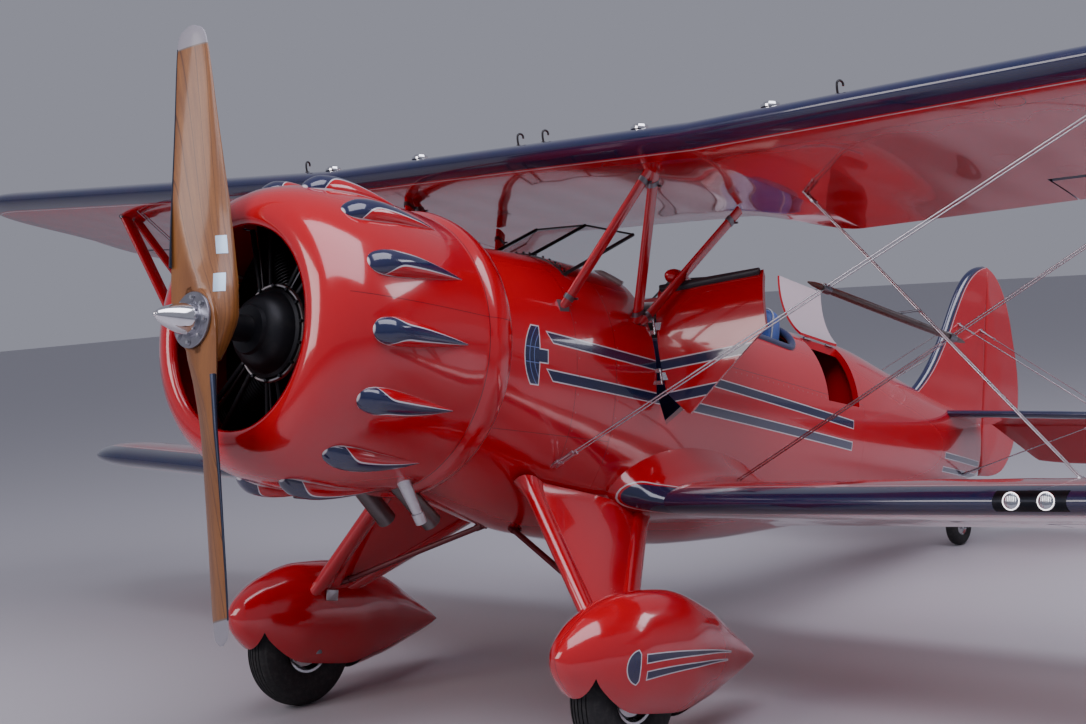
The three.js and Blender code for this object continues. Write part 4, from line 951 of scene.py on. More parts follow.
# The baggage hatch is hinged along its upper edge, and is folded right back onto the deck.
# The lining is a pale primer. The pink in its colour is painted reflection of the sky and painted bounce
# light from the red paint round it.
hatch_lining_and_painted_reflection = sprayed("hatch lining and painted reflection", (0.5, 0.4, 0.43), gloss=0.3)
hatch = cabin_shell("baggage_hatch_panel", ["baggage_hatch"], 0.012, hatch_lining_and_painted_reflection)
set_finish(hatch, "red_paint")
carved(hatch, [block(*HATCH)], keep="INTERSECT")
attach(hatch, "baggage_hatch")
HATCH_HINGE = ((-3.86, 0.205, 0.4234), (-4.23, 0.205, 0.4042))
HATCH_OPEN = 178
hatch_open = swung(HATCH_HINGE, -HATCH_OPEN)
hatch.data.transform(hatch_open)
smoothed(hatch, 35)

# The hinges are bright formed leaves on a pin, screwed to the skin and to the panel.
bright_alloy = metal("bright alloy", (0.62, 0.62, 0.64), 0.22, grain=50.0, tint=(0.3, 0.3, 0.31), dust=0.1)


def hinge_parts(hinge, places, moving_arm, fixed_arm, radius=0.006):
    """The moving and the fixed halves of the hinges at some parts of a hinge line."""
    start, end = (Vector(point) for point in hinge)
    run = (end - start).normalized()
    halves = {"moving": [], "fixed": []}
    for place in places:
        at = start.lerp(end, place)
        for half, first, last, arm in (
                ("moving", -0.018, 0.018, moving_arm), ("fixed", -0.037, -0.019, fixed_arm),
                ("fixed", 0.019, 0.037, fixed_arm)):
            halves[half].append(rod(at + run * first, at + run * last, radius, 16))
            reach = Vector(arm) - run * Vector(arm).dot(run)
            side = reach.cross(run).normalized() * 0.002
            leaf = blank()
            for lift in (side, -side):
                for point in (
                        at + run * first, at + run * last, at + run * last + reach, at + run * first + reach):
                    leaf.verts.new(point + lift)
            bmesh.ops.convex_hull(leaf, input=leaf.verts)
            halves[half].append(leaf)
    return gather(*halves["moving"]), gather(*halves["fixed"])


moving, fixed = hinge_parts(DOOR_HINGE, (0.184, 0.79), (-0.03, -0.024, 0.0), (0.04, -0.024, 0.0))
piece("door_hinge_leaves_fixed", fixed, [bright_alloy], slot="bare_metal")
piece(
    "door_hinge_leaves", moving, [bright_alloy], body="passenger_door", slot="bare_metal",
    at=door_open @ parked)
moving, fixed = hinge_parts(HATCH_HINGE, (0.2, 0.8), (0.0, 0.03, -0.034), (0.0, -0.04, -0.012))
piece("hatch_hinge_leaves_fixed", fixed, [bright_alloy], slot="bare_metal")
piece(
    "hatch_hinge_leaves", moving, [bright_alloy], body="baggage_hatch", slot="bare_metal",
    at=hatch_open @ parked)


# Each cockpit rim is finished with a split foam roll under stitched leather: beige round the front
# opening, and navy round the rear one. The stretch across the passenger door goes with the door.
def leather(name, colour, painted_crease_shade, scale=420.0, gloss=0.42):
    """Dyed hide: a pebbled grain, with painted shade darkening its creases and the grooves between its
    pebbles, and a soft uneven sheen.
    """
    finish = Finish(name, colour, Sheen_Weight=0.15, Sheen_Roughness=0.5)
    place = finish.object_place()
    pebble = finish.node(
        "TexVoronoi", (("Vector", place), ("Scale", scale)), "Distance", feature="DISTANCE_TO_EDGE")
    folds = finish.noise(place, 24.0, 4.0, 0.6)
    # Painted shade: the creases, and below them the grooves between the pebbles, are darkened towards the
    # crease shade colour.
    finish.over(finish.ramp_of(folds, 0.45, 0.75) * 0.6, painted_crease_shade)
    finish.over(finish.below(pebble, 0.05, 0.05) * 0.35, painted_crease_shade)
    lift = pebble * 0.6 + folds
    rough = gloss + folds * 0.2
    return finish.done(finish.bump(lift, 0.25, 0.0015), rough)


def hose(points, radius, sides=14, closed=False, flat=1.0):
    """A tube along points in the level aircraft. Flat squeezes it in height."""
    path = [Vector(point) for point in points]
    count = len(path)
    runs = []
    for k in range(count):
        before = path[(k - 1) % count] if closed else path[max(0, k - 1)]
        after = path[(k + 1) % count] if closed else path[min(count - 1, k + 1)]
        runs.append((after - before).normalized())
    up = Vector((0, 0, 1)) if abs(runs[0].z) < 0.9 else Vector((0, 1, 0))
    sides_of = []
    for run in runs:
        side = up.cross(run).normalized()
        top = run.cross(side).normalized()
        up = top
        sides_of.append((side, top))
    rows = count if closed else count - 1

    def shape(u, w):
        k = round(w * rows) % count if closed else round(w * rows)
        side, top = sides_of[k]
        reach = radius(k / rows) if callable(radius) else radius
        a = 2 * math.pi * u
        return path[k] + side * (reach * math.cos(a)) + top * (reach * flat * math.sin(a))
    return sewn(grid_skin(shape, sides, rows), closed=not closed)


navy_roll = leather("navy roll leather", (0.012, 0.02, 0.085), (0.004, 0.006, 0.03), gloss=0.3)
beige_roll = leather("beige roll leather", (0.42, 0.4, 0.4), (0.2, 0.18, 0.18), gloss=0.5)
black_roll = leather("black roll leather", (0.016, 0.018, 0.026), (0.004, 0.004, 0.008), gloss=0.4)
ROLL = 0.019


def rim_line(number):
    """The rim of an opening, with its height on the deck."""
    return [
        Vector((x, y, hull_top(x, y) - 0.004)) for x, y in rounded_outline(*COCKPITS[number], steps=16)]


def resampled(points, step):
    """Points a step apart along a line through others."""
    found = [points[0]]
    left = step
    for a, b in zip(points, points[1:]):
        length = (b - a).length
        while left <= length:
            found.append(a.lerp(b, left / length))
            left += step
        left -= length
    return found


ROLL_STEP = 0.012
DOOR_GAP = (-2.755, -2.192)
DOOR_ROLL = (-2.732, -2.226)
loop = resampled(rim_line(0) + [rim_line(0)[0]], ROLL_STEP)
kept = [k for k, point in enumerate(loop) if not (point.y > 0.2 and DOOR_GAP[0] < point.x < DOOR_GAP[1])]
split = next((i + 1 for i in range(len(kept) - 1) if kept[i + 1] - kept[i] > 1), 0)
order = kept[split:] + kept[:split]
front_roll = piece(
    "front_coaming_roll", hose([loop[k] for k in order], ROLL), [beige_roll], crease=60, slot="blue_leather")
door_run = [point for point in loop if point.y > 0.2 and DOOR_ROLL[0] < point.x < DOOR_ROLL[1]]
door_roll = piece(
    "door_coaming_roll", hose([point + Vector((0, 0.016, 0)) for point in door_run], ROLL * 0.9),
    [black_roll], body="passenger_door", crease=60, slot="blue_leather", at=door_open @ parked)
rear_line = resampled(rim_line(1) + [rim_line(1)[0]], ROLL_STEP)[:-1]
rear_roll = piece(
    "rear_coaming_roll", hose(rear_line, ROLL, closed=True), [navy_roll], crease=60, slot="blue_leather")


# The windshields are three flat panes in a light painted frame, screwed to the deck along their foot.
pane = Finish(
    "windshield pane", (0.93, 0.95, 0.96), Transmission_Weight=1.0, Roughness=0.03, IOR=1.45, Metallic=0.0)
pane_smear = pane.noise(pane.object_place(), 18.0, 5.0, 0.6)
clear_pane = pane.done(None, pane.ramp_of(pane_smear, 0.4, 0.8) * 0.1)
frame_black = metal("windshield frame", (0.012, 0.012, 0.015), 0.35, metallic=0.3, tint=(0.05, 0.05, 0.05))


def windshield(name, front, half, height, sweep, rake, bar):
    """Half is the half width, and the panes lean back by rake for each metre up. Bar is a post's radius."""
    crown = hull_top(front, 0)

    def spot(back, across, rise):
        return Vector((front - back - rake * rise, across, crown + rise))

    def foot_of(back, across):
        rise = 0.0
        for _ in range(24):
            at = spot(back, across, rise)
            rise += (hull_top(at.x, at.y) + 0.001 - at.z) * 0.7
        return rise

    glass = []
    frame_parts = []
    # Columns: back at one side, across there, back at the other side, across there
    for back0, across0, back1, across1 in (
            (sweep, half, 0.0, half * 0.45), (0.0, half * 0.45, 0.0, -half * 0.45),
            (0.0, -half * 0.45, sweep, -half)):

        def shape(u, w, b0=back0, a0=across0, b1=back1, a1=across1):
            back, across = b0 + (b1 - b0) * u, a0 + (a1 - a0) * u
            low = foot_of(back, across)
            side = abs(across) / half
            top = height * (1 - 0.18 * max(0.0, side - 0.45) / 0.55)
            return spot(back, across, low + (top - low) * w)
        glass.append(thickened(grid_skin(shape, 12, 8), 0.004))
        top_rail = [shape(k / 12, 1.0) for k in range(13)]
        foot_rail = [shape(k / 12, 0.0) for k in range(13)]
        frame_parts.append(hose(top_rail, 0.0055, 10))
        frame_parts.append(hose(foot_rail, 0.0065, 10, flat=0.8))
        for u in (0.0, 1.0):
            frame_parts.append(hose([shape(u, k / 6) for k in range(7)], bar, 10))
        for k in range(1, 12, 2):
            at = shape(k / 12, 0.04)
            frame_parts.append(
                rod(at + Vector((0.002, 0, 0.001)), at + Vector((0.0085, 0, 0.004)), 0.0045, 8))
    piece(f"{name}_panes", gather(*glass), [clear_pane], stands_for=[name], crease=30, slot="clear_pane")
    piece(f"{name}_frame", gather(*frame_parts), [frame_black], crease=50, slot="dark_panel")


windshield("front_windshield", -1.74, 0.335, 0.185, 0.19, 1.8, 0.0085)
windshield("rear_windshield", -2.96, 0.3, 0.14, 0.17, 1.2, 0.006)


# The seats are foam under stitched blue hide, sewn in panels with a grey piping round their edges.
# Each swells from a block of its own size, and the piping lies in the seam.
blue_hide = leather("blue hide", (0.02, 0.065, 0.28), (0.008, 0.022, 0.1), gloss=0.36)
grey_piping = leather("grey piping", (0.3, 0.31, 0.36), (0.14, 0.15, 0.18), scale=700.0)
# Columns: name, front, rear, half width, bottom, top, lean of the top edge, channels across
SEATS = (
    ("front_seat_cushion", -2.42, -2.82, 0.38, -0.3997, -0.21, 0.0, 5),
    ("front_seat_back", -2.69, -2.805, 0.31, -0.2097, 0.29, -0.05, 5),
    ("rear_seat_cushion", -3.24, -3.66, 0.28, -0.3997, -0.18, 0.0, 3),
    ("rear_seat_back", -3.535, -3.645, 0.215, -0.1797, 0.56, -0.065, 3),
)


def cushion_block(front, rear, half, bottom, top, lean, channels, upright):
    """A soft-cornered block, drawn in between its sewn channels on the side one sits against."""
    middle = Vector(((front + rear) / 2, 0, (bottom + top) / 2))
    mesh = blank()
    bmesh.ops.create_cube(mesh, size=2)
    bmesh.ops.subdivide_edges(mesh, edges=mesh.edges[:], cuts=15, use_grid_fill=True)
    size = Vector((abs(front - rear) / 2, half, (top - bottom) / 2))
    for vert in mesh.verts:
        a, b, c = vert.co
        if upright:
            roundness = (1 - 0.1 * abs(b) ** 6 * abs(c) ** 2, 1 - 0.05 * abs(a) ** 4 - 0.06 * max(0, c) ** 8,
                         1 - 0.05 * abs(a) ** 4 - 0.1 * abs(b) ** 6)
            seam = 0.035 * math.exp(-(((b * (channels + 1) / 2) % 1 - 0.5) / 0.07) ** 2) if a > 0.5 else 0.0
            seam *= 1 - abs(c) ** 8
            at = Vector((a * roundness[0] * (1 - seam * 3), b * roundness[1], c * roundness[2]))
        else:
            roundness = (1 - 0.08 * abs(b) ** 6 - 0.05 * max(0, c) ** 4,
                         1 - 0.08 * abs(a) ** 6 - 0.05 * max(0, c) ** 4,
                         1 - (0.1 * abs(a) ** 6 + 0.1 * abs(b) ** 6 if c > 0 else 0.0))
            seam = 0.05 * math.exp(-(((b * (channels + 1) / 2) % 1 - 0.5) / 0.07) ** 2) if c > 0.5 else 0.0
            seam *= 1 - abs(a) ** 8
            at = Vector((a * roundness[0], b * roundness[1], c * roundness[2] * (1 - seam * 3)))
        rise = (at.z + 1) / 2
        vert.co = middle + Vector((at.x * size.x + lean * rise, at.y * size.y, at.z * size.z))
    return mesh


def swollen(made, pressure, cap):
    """Blows the pad up like a sewn cover over foam, holding each point within the cap."""
    rest = [vert.co.copy() for vert in made.data.vertices]
    cloth = made.modifiers.new("foam", "CLOTH")
    cloth.settings.use_pressure = True
    cloth.settings.uniform_pressure_force = pressure
    cloth.settings.effector_weights.gravity = 0
    cloth.settings.quality = 5
    cloth.point_cache.frame_start = 1
    cloth.point_cache.frame_end = 20
    for frame_number in range(1, 21):
        scene.frame_set(frame_number)
    settled(made)
    scene.frame_set(1)
    for vert, before in zip(made.data.vertices, rest):
        move = vert.co - before
        if move.length > cap:
            vert.co = before + move.normalized() * cap


for name, front, rear, half, bottom, top, lean, channels in SEATS:
    upright = name.endswith("back")
    cover = cushion_block(
        front - 0.01, rear + 0.01, half - 0.01, bottom + 0.004, top - 0.01, lean, channels, upright)
    pad = piece(name + "_pad", cover, [blue_hide], stands_for=[name], crease=80, slot="blue_leather")
    swollen(pad, 4.0, 0.008)
    fine = pad.modifiers.new("fine", "SUBSURF")
    fine.levels = 1
    fine.render_levels = 1
    settled(pad)
    smoothed(pad, 80)
    z_top = top - 0.012
    if upright:
        flank = [(half - 0.02, bottom + 0.04 + (z_top - 0.07 - bottom - 0.04) * k / 24) for k in range(25)]
        for a in range(10, 91, 10):
            turn = math.radians(a)
            flank.append((half - 0.075 + 0.055 * math.cos(turn), z_top - 0.06 + 0.055 * math.sin(turn)))
        crown = [(half - 0.075 - (2 * half - 0.15) * k / 24, z_top - 0.005) for k in range(1, 24)]
        edge = [
            Vector((front - 0.012 + lean * (z - bottom) / (top - bottom), y, z))
            for y, z in flank + crown + [(-y, z) for y, z in reversed(flank)]]
    else:
        edge = [Vector((x, y, top - 0.03)) for x, y in rounded_outline(
            front - 0.008, rear + 0.008, half - 0.008, 0.05, steps=6)]
        edge = resampled(edge + [edge[0]], 0.015)[:-1]
    welt = piece(
        name + "_piping", hose(edge, 0.0045, 8, closed=not upright), [grey_piping], crease=80,
        slot="blue_leather")


# Inside, alloy bulkheads and a plywood floor with rubber treads divide the cabin. Both panels have a
# black crackle face with two rows of dials in bright rims.
def dial_pattern(finish):
    """Generic dials: a white scale round each black face, and one hand."""
    u, v, _ = finish.map_named("dial")
    dx, dy = u - 0.5, v - 0.5
    out = far(dx, dy)
    turn = finish.sums("ARCTAN2", dy, dx) / (2 * math.pi)
    tick = finish.below(abs((turn * 24.0).fract() - 0.5), 0.14, 0.03)
    scale_ring = tick * finish.above(out, 0.37, 0.01) * finish.below(out, 0.45, 0.01)
    hand = finish.below(abs(dy - dx * 0.6), 0.022, 0.006) * finish.below(out, 0.33, 0.01)
    hand = hand * finish.above(dx, -0.05, 0.01)
    finish.over(finish.either(scale_ring, hand), (0.75, 0.75, 0.7))


dial_finish = Finish("dial face", (0.01, 0.01, 0.012), Roughness=0.25, Coat_Weight=0.6)
dial_pattern(dial_finish)
dial_face = dial_finish.done()
crackle_black = metal("crackle black", (0.02, 0.02, 0.022), 0.6, grain=380.0, peel=0.5, metallic=0.0)
PANEL_FACE, REAR_PANEL_FACE = -2.091, -2.9705
# Columns: across, height, radius
DIALS = (
    (-0.27, 0.3, 0.04), (-0.16, 0.33, 0.04), (-0.05, 0.34, 0.04), (0.06, 0.34, 0.04), (0.17, 0.33, 0.04),
    (0.28, 0.3, 0.04), (-0.22, 0.2, 0.028), (-0.11, 0.22, 0.028), (0.0, 0.23, 0.028), (0.11, 0.22, 0.028),
    (0.22, 0.2, 0.028))
REAR_DIALS = (
    (-0.24, 0.3, 0.04), (-0.13, 0.32, 0.04), (-0.02, 0.33, 0.04), (0.09, 0.32, 0.04), (0.2, 0.3, 0.04),
    (-0.18, 0.21, 0.028), (-0.07, 0.22, 0.028), (0.04, 0.22, 0.028), (0.15, 0.21, 0.028))


def dial_parts(face_x, dials):
    rims, faces = [], []
    for y, z, radius in dials:
        spread = Matrix.Translation((face_x, y, z)) @ Matrix.Rotation(math.pi, 4, "Z")
        rim = spun([(0.0, radius + 0.004), (0.008, radius + 0.004), (0.01, radius), (0.008, radius - 0.004),
                    (0.003, radius - 0.004), (0.0, radius - 0.003), (0.0, radius + 0.004)], 28)
        rim.transform(spread)
        rims.append(rim)
        face = blank()
        layer = face.loops.layers.uv.new("dial")
        bmesh.ops.create_cone(
            face, cap_ends=True, segments=28, radius1=radius - 0.003, radius2=radius - 0.003, depth=0.003,
            matrix=Matrix.Translation((0.003, 0, 0)) @ Matrix.Rotation(math.pi / 2, 4, "Y"))
        for side in face.faces:
            for corner in side.loops:
                corner[layer].uv = (
                    0.5 + corner.vert.co.y / (2 * radius), 0.5 + corner.vert.co.z / (2 * radius))
        face.transform(spread)
        faces.append(face)
    return gather(*rims), gather(*faces)


for panel, face_x, dials in (("panel", PANEL_FACE, DIALS), ("rear_panel", REAR_PANEL_FACE, REAR_DIALS)):
    rims, faces = dial_parts(face_x, dials)
    piece(f"{panel}_dial_rims", rims, [bright_alloy], crease=50, slot="bare_metal")
    piece(f"{panel}_dial_faces", faces, [dial_face], crease=50, slot="dark_panel")


def carried(node, finish, slot_name):
    """A CAD node whose shape is right keeps it and gets its finish here."""
    made = frame["nodes"][node]
    made.data.materials.clear()
    made.data.materials.append(finish)
    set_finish(made, slot_name)


ply_finish = Finish("floor plywood", (0.1, 0.075, 0.05), Roughness=0.6)
ply_x = ply_finish.split(ply_finish.level_place())[0]
tread = ply_finish.below((ply_x * 40.0).fract(), 0.5, 0.08)
ply_finish.over(tread * 0.7, (0.012, 0.012, 0.014))
floor_tread = ply_finish.done(ply_finish.bump(tread, 0.6, 0.002))
for node in ("front_instrument_panel", "cockpit_bulkhead", "baggage_bulkhead"):
    carried(node, crackle_black, "dark_panel")
carried("cockpit_floor", floor_tread, "dark_panel")

# The dual control sticks are bent steel tube with black grips, each in a boot on the floor.
stick_parts = []
for foot_x in (-2.3, -3.13):
    stick_parts.append(hose(
        [(foot_x, 0, -0.3995), (foot_x - 0.004, 0, -0.3), (foot_x - 0.02, 0, -0.2), (foot_x - 0.05, 0, -0.1),
         (foot_x - 0.056, 0, -0.02)], 0.011, 12))
    stick_parts.append(finished_in(hose(
        [(foot_x - back, 0, z) for back, z in ((0.055, -0.035), (0.055, 0.0), (0.052, 0.04), (0.046, 0.08))],
        lambda part: 0.018 + 0.004 * math.sin(math.pi * part), 14), 1))
    boot = spun([(0.0, 0.0), (0.0, 0.055), (0.01, 0.055), (0.02, 0.04), (0.026, 0.044), (0.036, 0.03),
                 (0.042, 0.034), (0.055, 0.018), (0.06, 0.0)], 24)
    boot.transform(Matrix.Translation((foot_x, 0, -0.3997)) @ Matrix.Rotation(-math.pi / 2, 4, "Y"))
    stick_parts.append(finished_in(boot, 1))
piece("control_sticks", gather(*stick_parts), [frame_black, crackle_black], crease=50, slot="dark_metal")


# The wings are spruce and plywood under doped fabric, which draws in a little between the ribs. The
# navy leading edge with its pin line runs round the tip, and round covers give onto the fittings.
CHORD = 1.45
CAMBER = 0.035
THICKNESS = 0.12
RIB_PITCH = 0.305
# Columns: leading edge, height, root, rise for each metre out, fall for each metre back, half span
UPPER = (-1.51, 0.94, 1.1, math.tan(math.radians(2.7)), 0.1, 4.57)
LOWER = (-2.15, -0.545, 0.64, math.tan(math.radians(2.2)), 0.03, 4.09)
# The tip's reach, the part of the skin's rows inboard of it, and how soon a cut edge closes
TIP_RUN = 0.6
STRAIGHT = 0.72
BLUNT = 0.16


def chord_line(wing, x, y):
    lead, height, root, rise, fall, _ = wing
    return height + max(0.0, abs(y) - root) * rise - fall * (lead - x)


def half_thick(t):
    """Half the section's thickness at a part of the chord from its nose, as a part of the chord."""
    return 5 * THICKNESS * (
        0.2969 * math.sqrt(t) - 0.126 * t - 0.3516 * t ** 2 + 0.2843 * t ** 3 - 0.1036 * t ** 4)


def section(wing, y, around, back=0.0, part=1.0, fullness=1.0, end=1.0):
    """A place round the wing's section, from the trailing edge over the top and back underneath."""
    t = (1 + math.cos(2 * math.pi * around)) / 2
    whole = t * end
    half = half_thick(whole)
    if end < 1:
        half *= min(1.0, math.sqrt(max(0.0, 1 - t) / BLUNT))
    bend = 4 * CAMBER * whole * (1 - whole)
    x = wing[0] - back * CHORD - whole * part * CHORD
    side = 1 if around <= 0.5 else -1
    height = (bend + side * half * fullness) * part * CHORD + (1 - part) * CAMBER * CHORD
    return Vector((x, y, chord_line(wing, x, y) + height)), whole, side


def rib_sag(y, root, whole):
    """How far the fabric draws in between two ribs, aft of the plywood leading edge."""
    taut = min(1.0, max(0.0, (whole - 0.14) / 0.1), max(0.0, (1 - whole) / 0.1))
    return 0.002 * math.sin(math.pi * (y - root) / RIB_PITCH) ** 2 * taut


def tip_of(s):
    """The rounding of the tip: part set back, part of the chord left, and how full it is."""
    k = 1 - math.sqrt(max(0.0, 1 - s ** 2.6))
    return 0.36 * k, 1 - 0.72 * k, 0.06 + 0.94 * math.sqrt(max(0.0, 1 - s ** 9))


def wing_panel(wing, root):
    reach = wing[5]

    def out_at(w):
        if w < STRAIGHT:
            return root + (reach - TIP_RUN - root) * w / STRAIGHT, 0.0
        s = math.sin((w - STRAIGHT) / (1 - STRAIGHT) * math.pi / 2)
        return reach - TIP_RUN + TIP_RUN * s, s

    def shape(u, w):
        y, s = out_at(w)
        back, part, fullness = tip_of(s)
        place, whole, side = section(wing, y, u, back, part, fullness)
        place.z -= side * rib_sag(y, root, whole) * (1 - s)
        return place

    panel = grid_skin(shape, 72, 132)

    def rim(place, uv):
        y, s = out_at(uv.y)
        back, _, _ = tip_of(s)
        return (wing[0] - back * CHORD - place.x, y)
    mapped(panel, "rim", rim)
    mapped(panel, "over", lambda place, uv: (uv.x, 0.0))
    return sewn(panel)


def spots(finish, a, b, places, radius):
    """Round marks of one size at listed places on a map."""
    found = [far(a - at_a, b - at_b) for at_a, at_b in places]
    nearest = found[0]
    for other in found[1:]:
        nearest = finish.sums("MINIMUM", nearest, other)
    return finish.below(nearest, radius), finish.band(nearest, radius + 0.002, 0.0016)


BAND = 0.092


def wing_paint(name, root, covers):
    """Covers are listed as distance behind the leading edge and distance out, on the underside."""
    def pattern(finish):
        behind, out, _ = finish.map_named("rim")
        over, _, _ = finish.map_named("over")
        below_wing = finish.above(over, 0.5, 0.002)
        rib = (((out - root) / RIB_PITCH + 0.5).fract() - 0.5) * RIB_PITCH
        fabric = finish.above(behind, 0.2)
        stitches = dots(finish, behind, rib, 0.064, 0.0, 0.0034) * fabric
        tape = finish.band(rib, 0.0, 0.024, 0.0012) * fabric
        metal_rivets = dots(finish, out, behind, 0.05, 0.205, 0.0028) * finish.below(behind, 0.3)
        seam = finish.band(behind, 0.213, 0.0011, 0.0006)
        discs, rings = spots(finish, behind, out, covers, 0.052)
        discs, rings = discs * below_wing, rings * below_wing
        finish.over(finish.either(seam, rings) * 0.6, (0.06, 0.003, 0.006))
        finish.over(stitches * 0.5, (0.1, 0.006, 0.01))
        finish.over(finish.below(behind, BAND), NAVY)
        finish.over(finish.band(behind, BAND + 0.014, 0.0038), PIN_LINE)
        relief = tape * 0.35 + (stitches * 0.8 + metal_rivets * 0.7) + discs * 0.8
        relief = relief - finish.either(seam, rings) * 1.0
        return finish.bump(relief, 0.35, 0.0009)
    return sprayed(name, pattern=pattern, gloss=0.16)


def mirrored(made):
    """The starboard twin of a port piece: the same across the middle of the parked aircraft."""
    data = made.data.copy()
    data.transform(Matrix.Diagonal((1, -1, 1, 1)))
    data.flip_normals()
    twin = bpy.data.objects.new(made.name.replace("left_", "right_"), data)
    scene.collection.objects.link(twin)
    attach(twin, made["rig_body"].replace("left_", "right_"))
    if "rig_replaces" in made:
        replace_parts(twin, *(node.replace("left_", "right_") for node in made["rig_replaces"]))
    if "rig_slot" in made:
        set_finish(twin, made["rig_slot"])
    return twin


def hull_of(points):
    mesh = blank()
    for point in points:
        mesh.verts.new(point)
    bmesh.ops.convex_hull(mesh, input=mesh.verts)
    return outward(mesh)


CLEARANCE = 0.0003
AILERON_CHORD = 0.3
SLOT = 0.01
# Columns: name, wing, aileron from, to, covers
PANELS = (
    ("upper", UPPER, 2.15, 4.18,
     ((0.17, 2.45), (0.785, 2.13), (1.2, 1.505), (1.05, 2.29), (0.3, 3.45), (0.95, 3.45), (0.3, 1.55))),
    ("lower", LOWER, 1.9, 3.72,
     ((0.28, 1.2), (0.95, 1.2), (0.28, 2.75), (0.95, 2.55), (0.28, 3.45))),
)
for level, wing, start, end, covers in PANELS:
    root = wing[2] + (CLEARANCE if level == "upper" else 0.0)
    paint = wing_paint(f"{level} wing paint", root, covers)
    hinge_x = wing[0] - CHORD + AILERON_CHORD
    back_part = 1 - AILERON_CHORD / CHORD
    mid_line = 4 * CAMBER * back_part * (1 - back_part) * CHORD

    def hinge_height(y, wing=wing, hinge_x=hinge_x, mid_line=mid_line):
        return chord_line(wing, hinge_x, y) + mid_line

    wing_skin = piece(
        f"left_{level}_wing_panel", wing_panel(wing, root), [paint], stands_for=[f"left_{level}_wing"],
        slot="red_fabric")
    flap = piece(
        f"left_{level}_aileron_panel", wing_panel(wing, root), [paint], body=f"left_{level}_aileron",
        stands_for=[f"left_{level}_aileron"], slot="red_fabric")
    hole = hull_of([
        (hinge_x + x, y, hinge_height(y) + z) for y in (start, end)
        for x, z in ((SLOT, 0.12), (-0.9, 0.12), (-0.9, -0.12), (SLOT, -0.12))])
    nose = hull_of([
        (hinge_x + x, y, hinge_height(y) + z) for y in (start + 0.008, end - 0.008)
        for x, z in ((-SLOT, 0.014), (-0.05, 0.09), (-0.9, 0.09), (-0.9, -0.09), (-0.05, -0.09),
                     (-SLOT, -0.014))])
    carved(wing_skin, [hole])
    carved(flap, [nose], keep="INTERSECT")
    smoothed(wing_skin, 32)
    smoothed(flap, 32)
    mirrored(wing_skin)
    mirrored(flap)
    moving, fixed = hinge_parts(
        ((hinge_x, start, hinge_height(start)), (hinge_x, end, hinge_height(end))), (0.15, 0.5, 0.85),
        (-0.024, 0, 0), (0.022, 0, 0))
    fixed_leaves = piece(f"left_{level}_aileron_brackets", fixed, [bright_alloy], slot="bare_metal")
    moving_leaves = piece(
        f"left_{level}_aileron_pins", moving, [bright_alloy], body=f"left_{level}_aileron", slot="bare_metal")
    mirrored(fixed_leaves)
    mirrored(moving_leaves)


# The centre section joins the upper wings over the front cockpit. Its trailing edge is cut away, and
# the fuel tanks inside it are filled through chromed caps on top.
# Its cut-out: half its width, the run of its eased sides, the chord left there and how much is cut
CUT_HALF = 0.62
CUT_EASE = 0.46
CUT_EDGE = 2.72 - 1.51
CUT_DEPTH = 2.96 - 2.72


def centre_end(y):
    """The part of the chord that is left at a place across the centre section."""
    s = min(1.0, max(0.0, abs(y) - CUT_HALF) / CUT_EASE)
    return (CUT_EDGE + CUT_DEPTH * (3 * s * s - 2 * s ** 3)) / CHORD


def centre_shape(u, w):
    y = -UPPER[2] + 2 * UPPER[2] * w
    place, whole, side = section(UPPER, y, u, end=centre_end(y))
    place.z -= side * rib_sag(y, UPPER[2], whole)
    return place


centre_covers = ((0.18, 0.62), (0.18, -0.62), (0.62, 0.36), (0.62, -0.36), (1.0, 0.62), (1.0, -0.62))
centre_paint = wing_paint("centre section paint", 1.1, centre_covers)
centre_panel = grid_skin(centre_shape, 72, 88)
mapped(centre_panel, "rim", lambda place, uv: (UPPER[0] - place.x, place.y))
mapped(centre_panel, "over", lambda place, uv: (uv.x, 0.0))
piece(
    "centre_section_panel", sewn(centre_panel), [centre_paint], stands_for=["upper_centre_section"],
    crease=32, slot="red_fabric")


def on_wing(wing, behind, y, lift=0.0):
    """The upper surface of a wing at a distance behind its leading edge."""
    t = behind / CHORD
    x = wing[0] - behind
    return Vector((x, y, chord_line(wing, x, y) + (4 * CAMBER * t * (1 - t) + half_thick(t)) * CHORD + lift))


top_parts = []
for y in (-1.13, -0.515, 0.805, 1.46):
    cap = spun([
        (-0.006, 0.0), (-0.006, 0.042), (0.003, 0.043), (0.005, 0.038), (0.009, 0.036), (0.015, 0.033),
        (0.018, 0.026), (0.019, 0.0)], 28)
    cap.transform(Matrix.Translation(on_wing(UPPER, 0.115, y)) @ Matrix.Rotation(-math.pi / 2, 4, "Y"))
    top_parts.append(cap)
piece("fuel_caps", gather(*top_parts), [polished], crease=35, slot="polished_metal")
vents = []
for y, sway in ((-1.36, -0.3), (0.09, 0.2), (0.24, 0.2), (1.75, 0.3)):
    foot = on_wing(UPPER, 0.14, y, -0.004)
    crook = [foot + Vector((0.014 * math.sin(k * math.pi / 12), 0, 0.046 * k / 6)) for k in range(7)]
    crook += [
        crook[6] + Vector((-0.016 * (1 - math.cos(a)), sway * 0.015 * (1 - math.cos(a)), 0.014 * math.sin(a)))
        for a in (math.radians(15 * k) for k in range(1, 14))]
    vents.append(hose(crook, 0.0048, 10))
    collar = spun([(-0.003, 0.0), (-0.003, 0.012), (0.004, 0.012), (0.006, 0.006), (0.006, 0.0)], 16)
    collar.transform(Matrix.Translation(foot + Vector((0, 0, 0.004))) @ Matrix.Rotation(-math.pi / 2, 4, "Y"))
    vents.append(collar)
piece("tank_vents", gather(*vents), [frame_black], crease=50, slot="dark_metal")


# Two landing lamps sit side by side behind a clear cover in the port lower wing's leading edge.
def lamp_cover(u, w):
    """The cover's outside, just clear of the wing's skin."""
    y = 2.205 + 0.295 * w
    nose, _, _ = section(LOWER, y, 0.5)
    edge, _, _ = section(LOWER, y, 0.5 + (u - 0.5) * 0.105)
    return edge + (edge - nose + Vector((0.06, 0, 0))).normalized() * 0.0012


